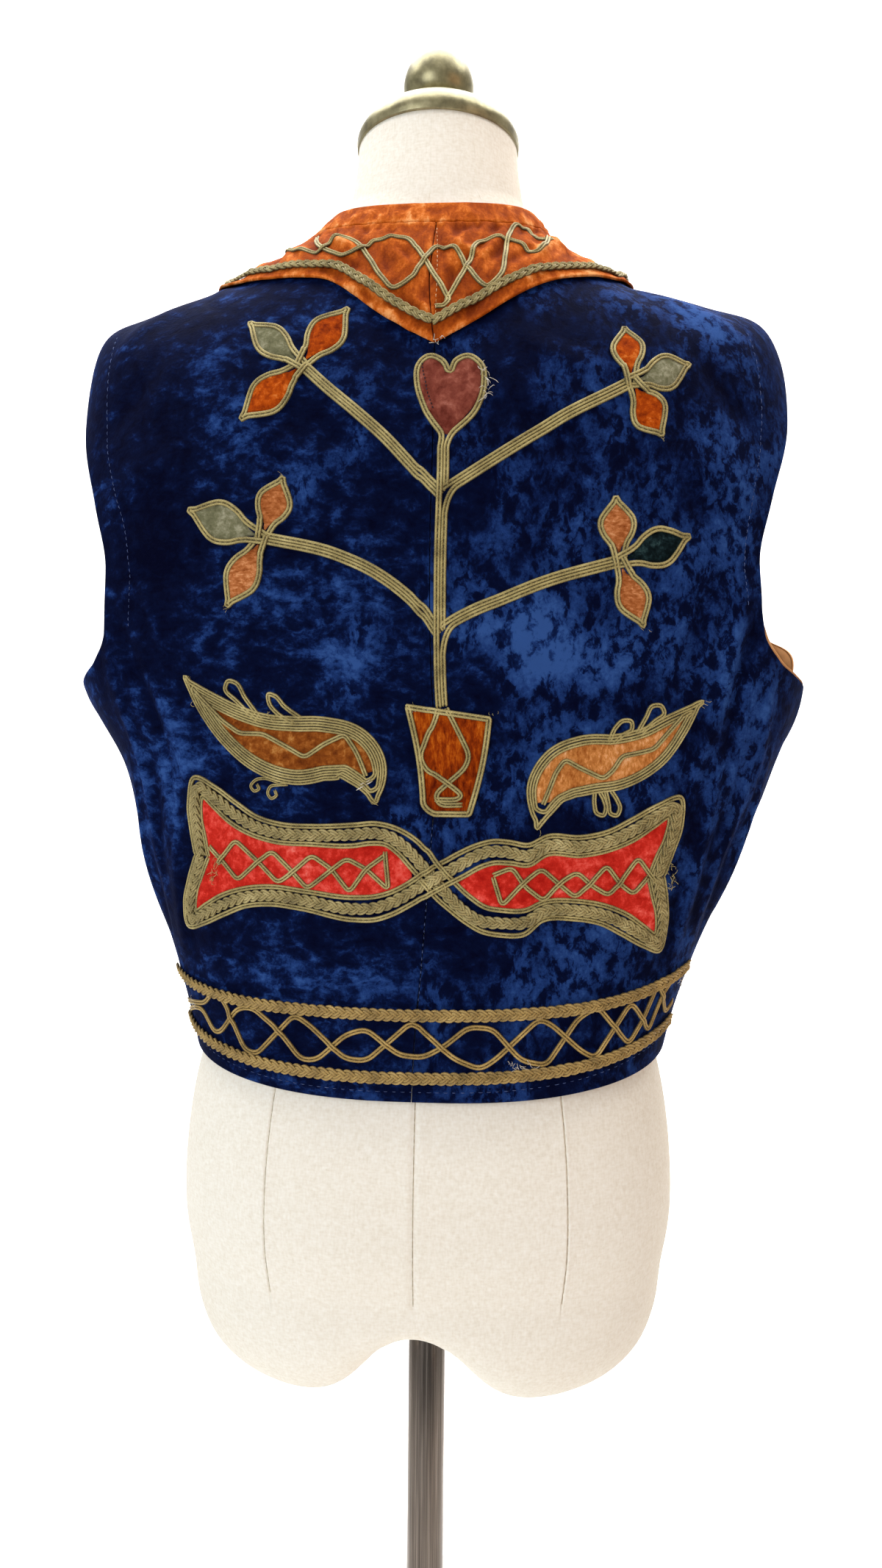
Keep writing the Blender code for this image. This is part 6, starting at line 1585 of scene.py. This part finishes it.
# Painted paper: matt off-white, so that it takes only the softest shadow.
paperSettings = {"Base Color": toLinear("#f3f2f0"), "Roughness": 0.95, "Specular IOR Level": 0.1,
                 "IOR": 1.5}
endMaterial(backdropMaterial, paperSettings, {})
mesh = bpy.data.meshes.new("backdrop")
mesh.from_pydata([tuple(p) for p in grid.reshape(-1, 3) - (0, 0, 0.0002)], [],
                 [tuple(int(i) for i in q) for q in gridQuads(numbered(*grid.shape[:2]))])
mesh.materials.append(backdropMaterial)
for face in mesh.polygons:
    face.use_smooth = True
backdrop = bpy.data.objects.new("backdrop", mesh)
bpy.context.scene.collection.objects.link(backdrop)

world = bpy.data.worlds.new("studio")
bpy.context.scene.world = world
world.use_nodes = True
world.node_tree.nodes["Background"].inputs["Color"].default_value = toLinear("#f4f6fa")
world.node_tree.nodes["Background"].inputs["Strength"].default_value = 0.37
lightList = {   # place, aim, size, power, colour
    "key": ((-1.25, -2.05, 1.5), (0, 0, 1.05), 1.2, 29.0, "#f2f7ff"),
    "fill": ((1.9, -1.3, 1.4), (0, 0, 1.1), 1.4, 7.5, "#ffba80"),
    "top": ((0.1, -0.5, 2.9), (0, 0, 1.3), 1.2, 2.5, "#ffffff"),
    "wallTop": ((0, 0.7, 3.0), (0, 1.8, 1.3), 2.4, 110.0, "#ffffff"),
    "wallLow": ((0, 0.75, 0.45), (0, 1.8, 0.7), 1.4, 40.0, "#ffffff"),
}
for name, (place, aim, size, power, colour) in lightList.items():
    light = bpy.data.lights.new(name, "AREA")
    light.size, light.energy, light.color = size, power, toLinear(colour)[:3]
    lamp = bpy.data.objects.new(name, light)
    lamp.location = place
    lamp.rotation_euler = (Vector(aim) - Vector(place)).to_track_quat("-Z", "Y").to_euler()
    bpy.context.scene.collection.objects.link(lamp)

cameraSettings = {"azimuth": 4.0, "roll": 0.54, "distance": 0.770, "height": 1.108, "shift": 0.006,
                  "focal": 25.992}
azimuth, roll = math.radians(cameraSettings["azimuth"]), math.radians(cameraSettings["roll"])
back = Vector((math.sin(azimuth), -math.cos(azimuth), 0))
right = Vector((math.cos(azimuth), math.sin(azimuth), 0))
up = Vector((0, 0, 1))
place = back * cameraSettings["distance"] + up * cameraSettings["height"] + right * cameraSettings["shift"]
across, upward = right * math.cos(roll) + up * math.sin(roll), up * math.cos(roll) - right * math.sin(roll)
lens = bpy.data.cameras.new("camera")
lens.lens, lens.sensor_width, lens.sensor_fit = cameraSettings["focal"], 36, "AUTO"
lens.clip_start = 0.01
camera = bpy.data.objects.new("camera", lens)
camera.matrix_world = Matrix((across, upward, back)).transposed().to_4x4()
camera.matrix_world.translation = place
bpy.context.scene.collection.objects.link(camera)
bpy.context.scene.camera = camera
bpy.context.scene.view_settings.view_transform = "Standard"
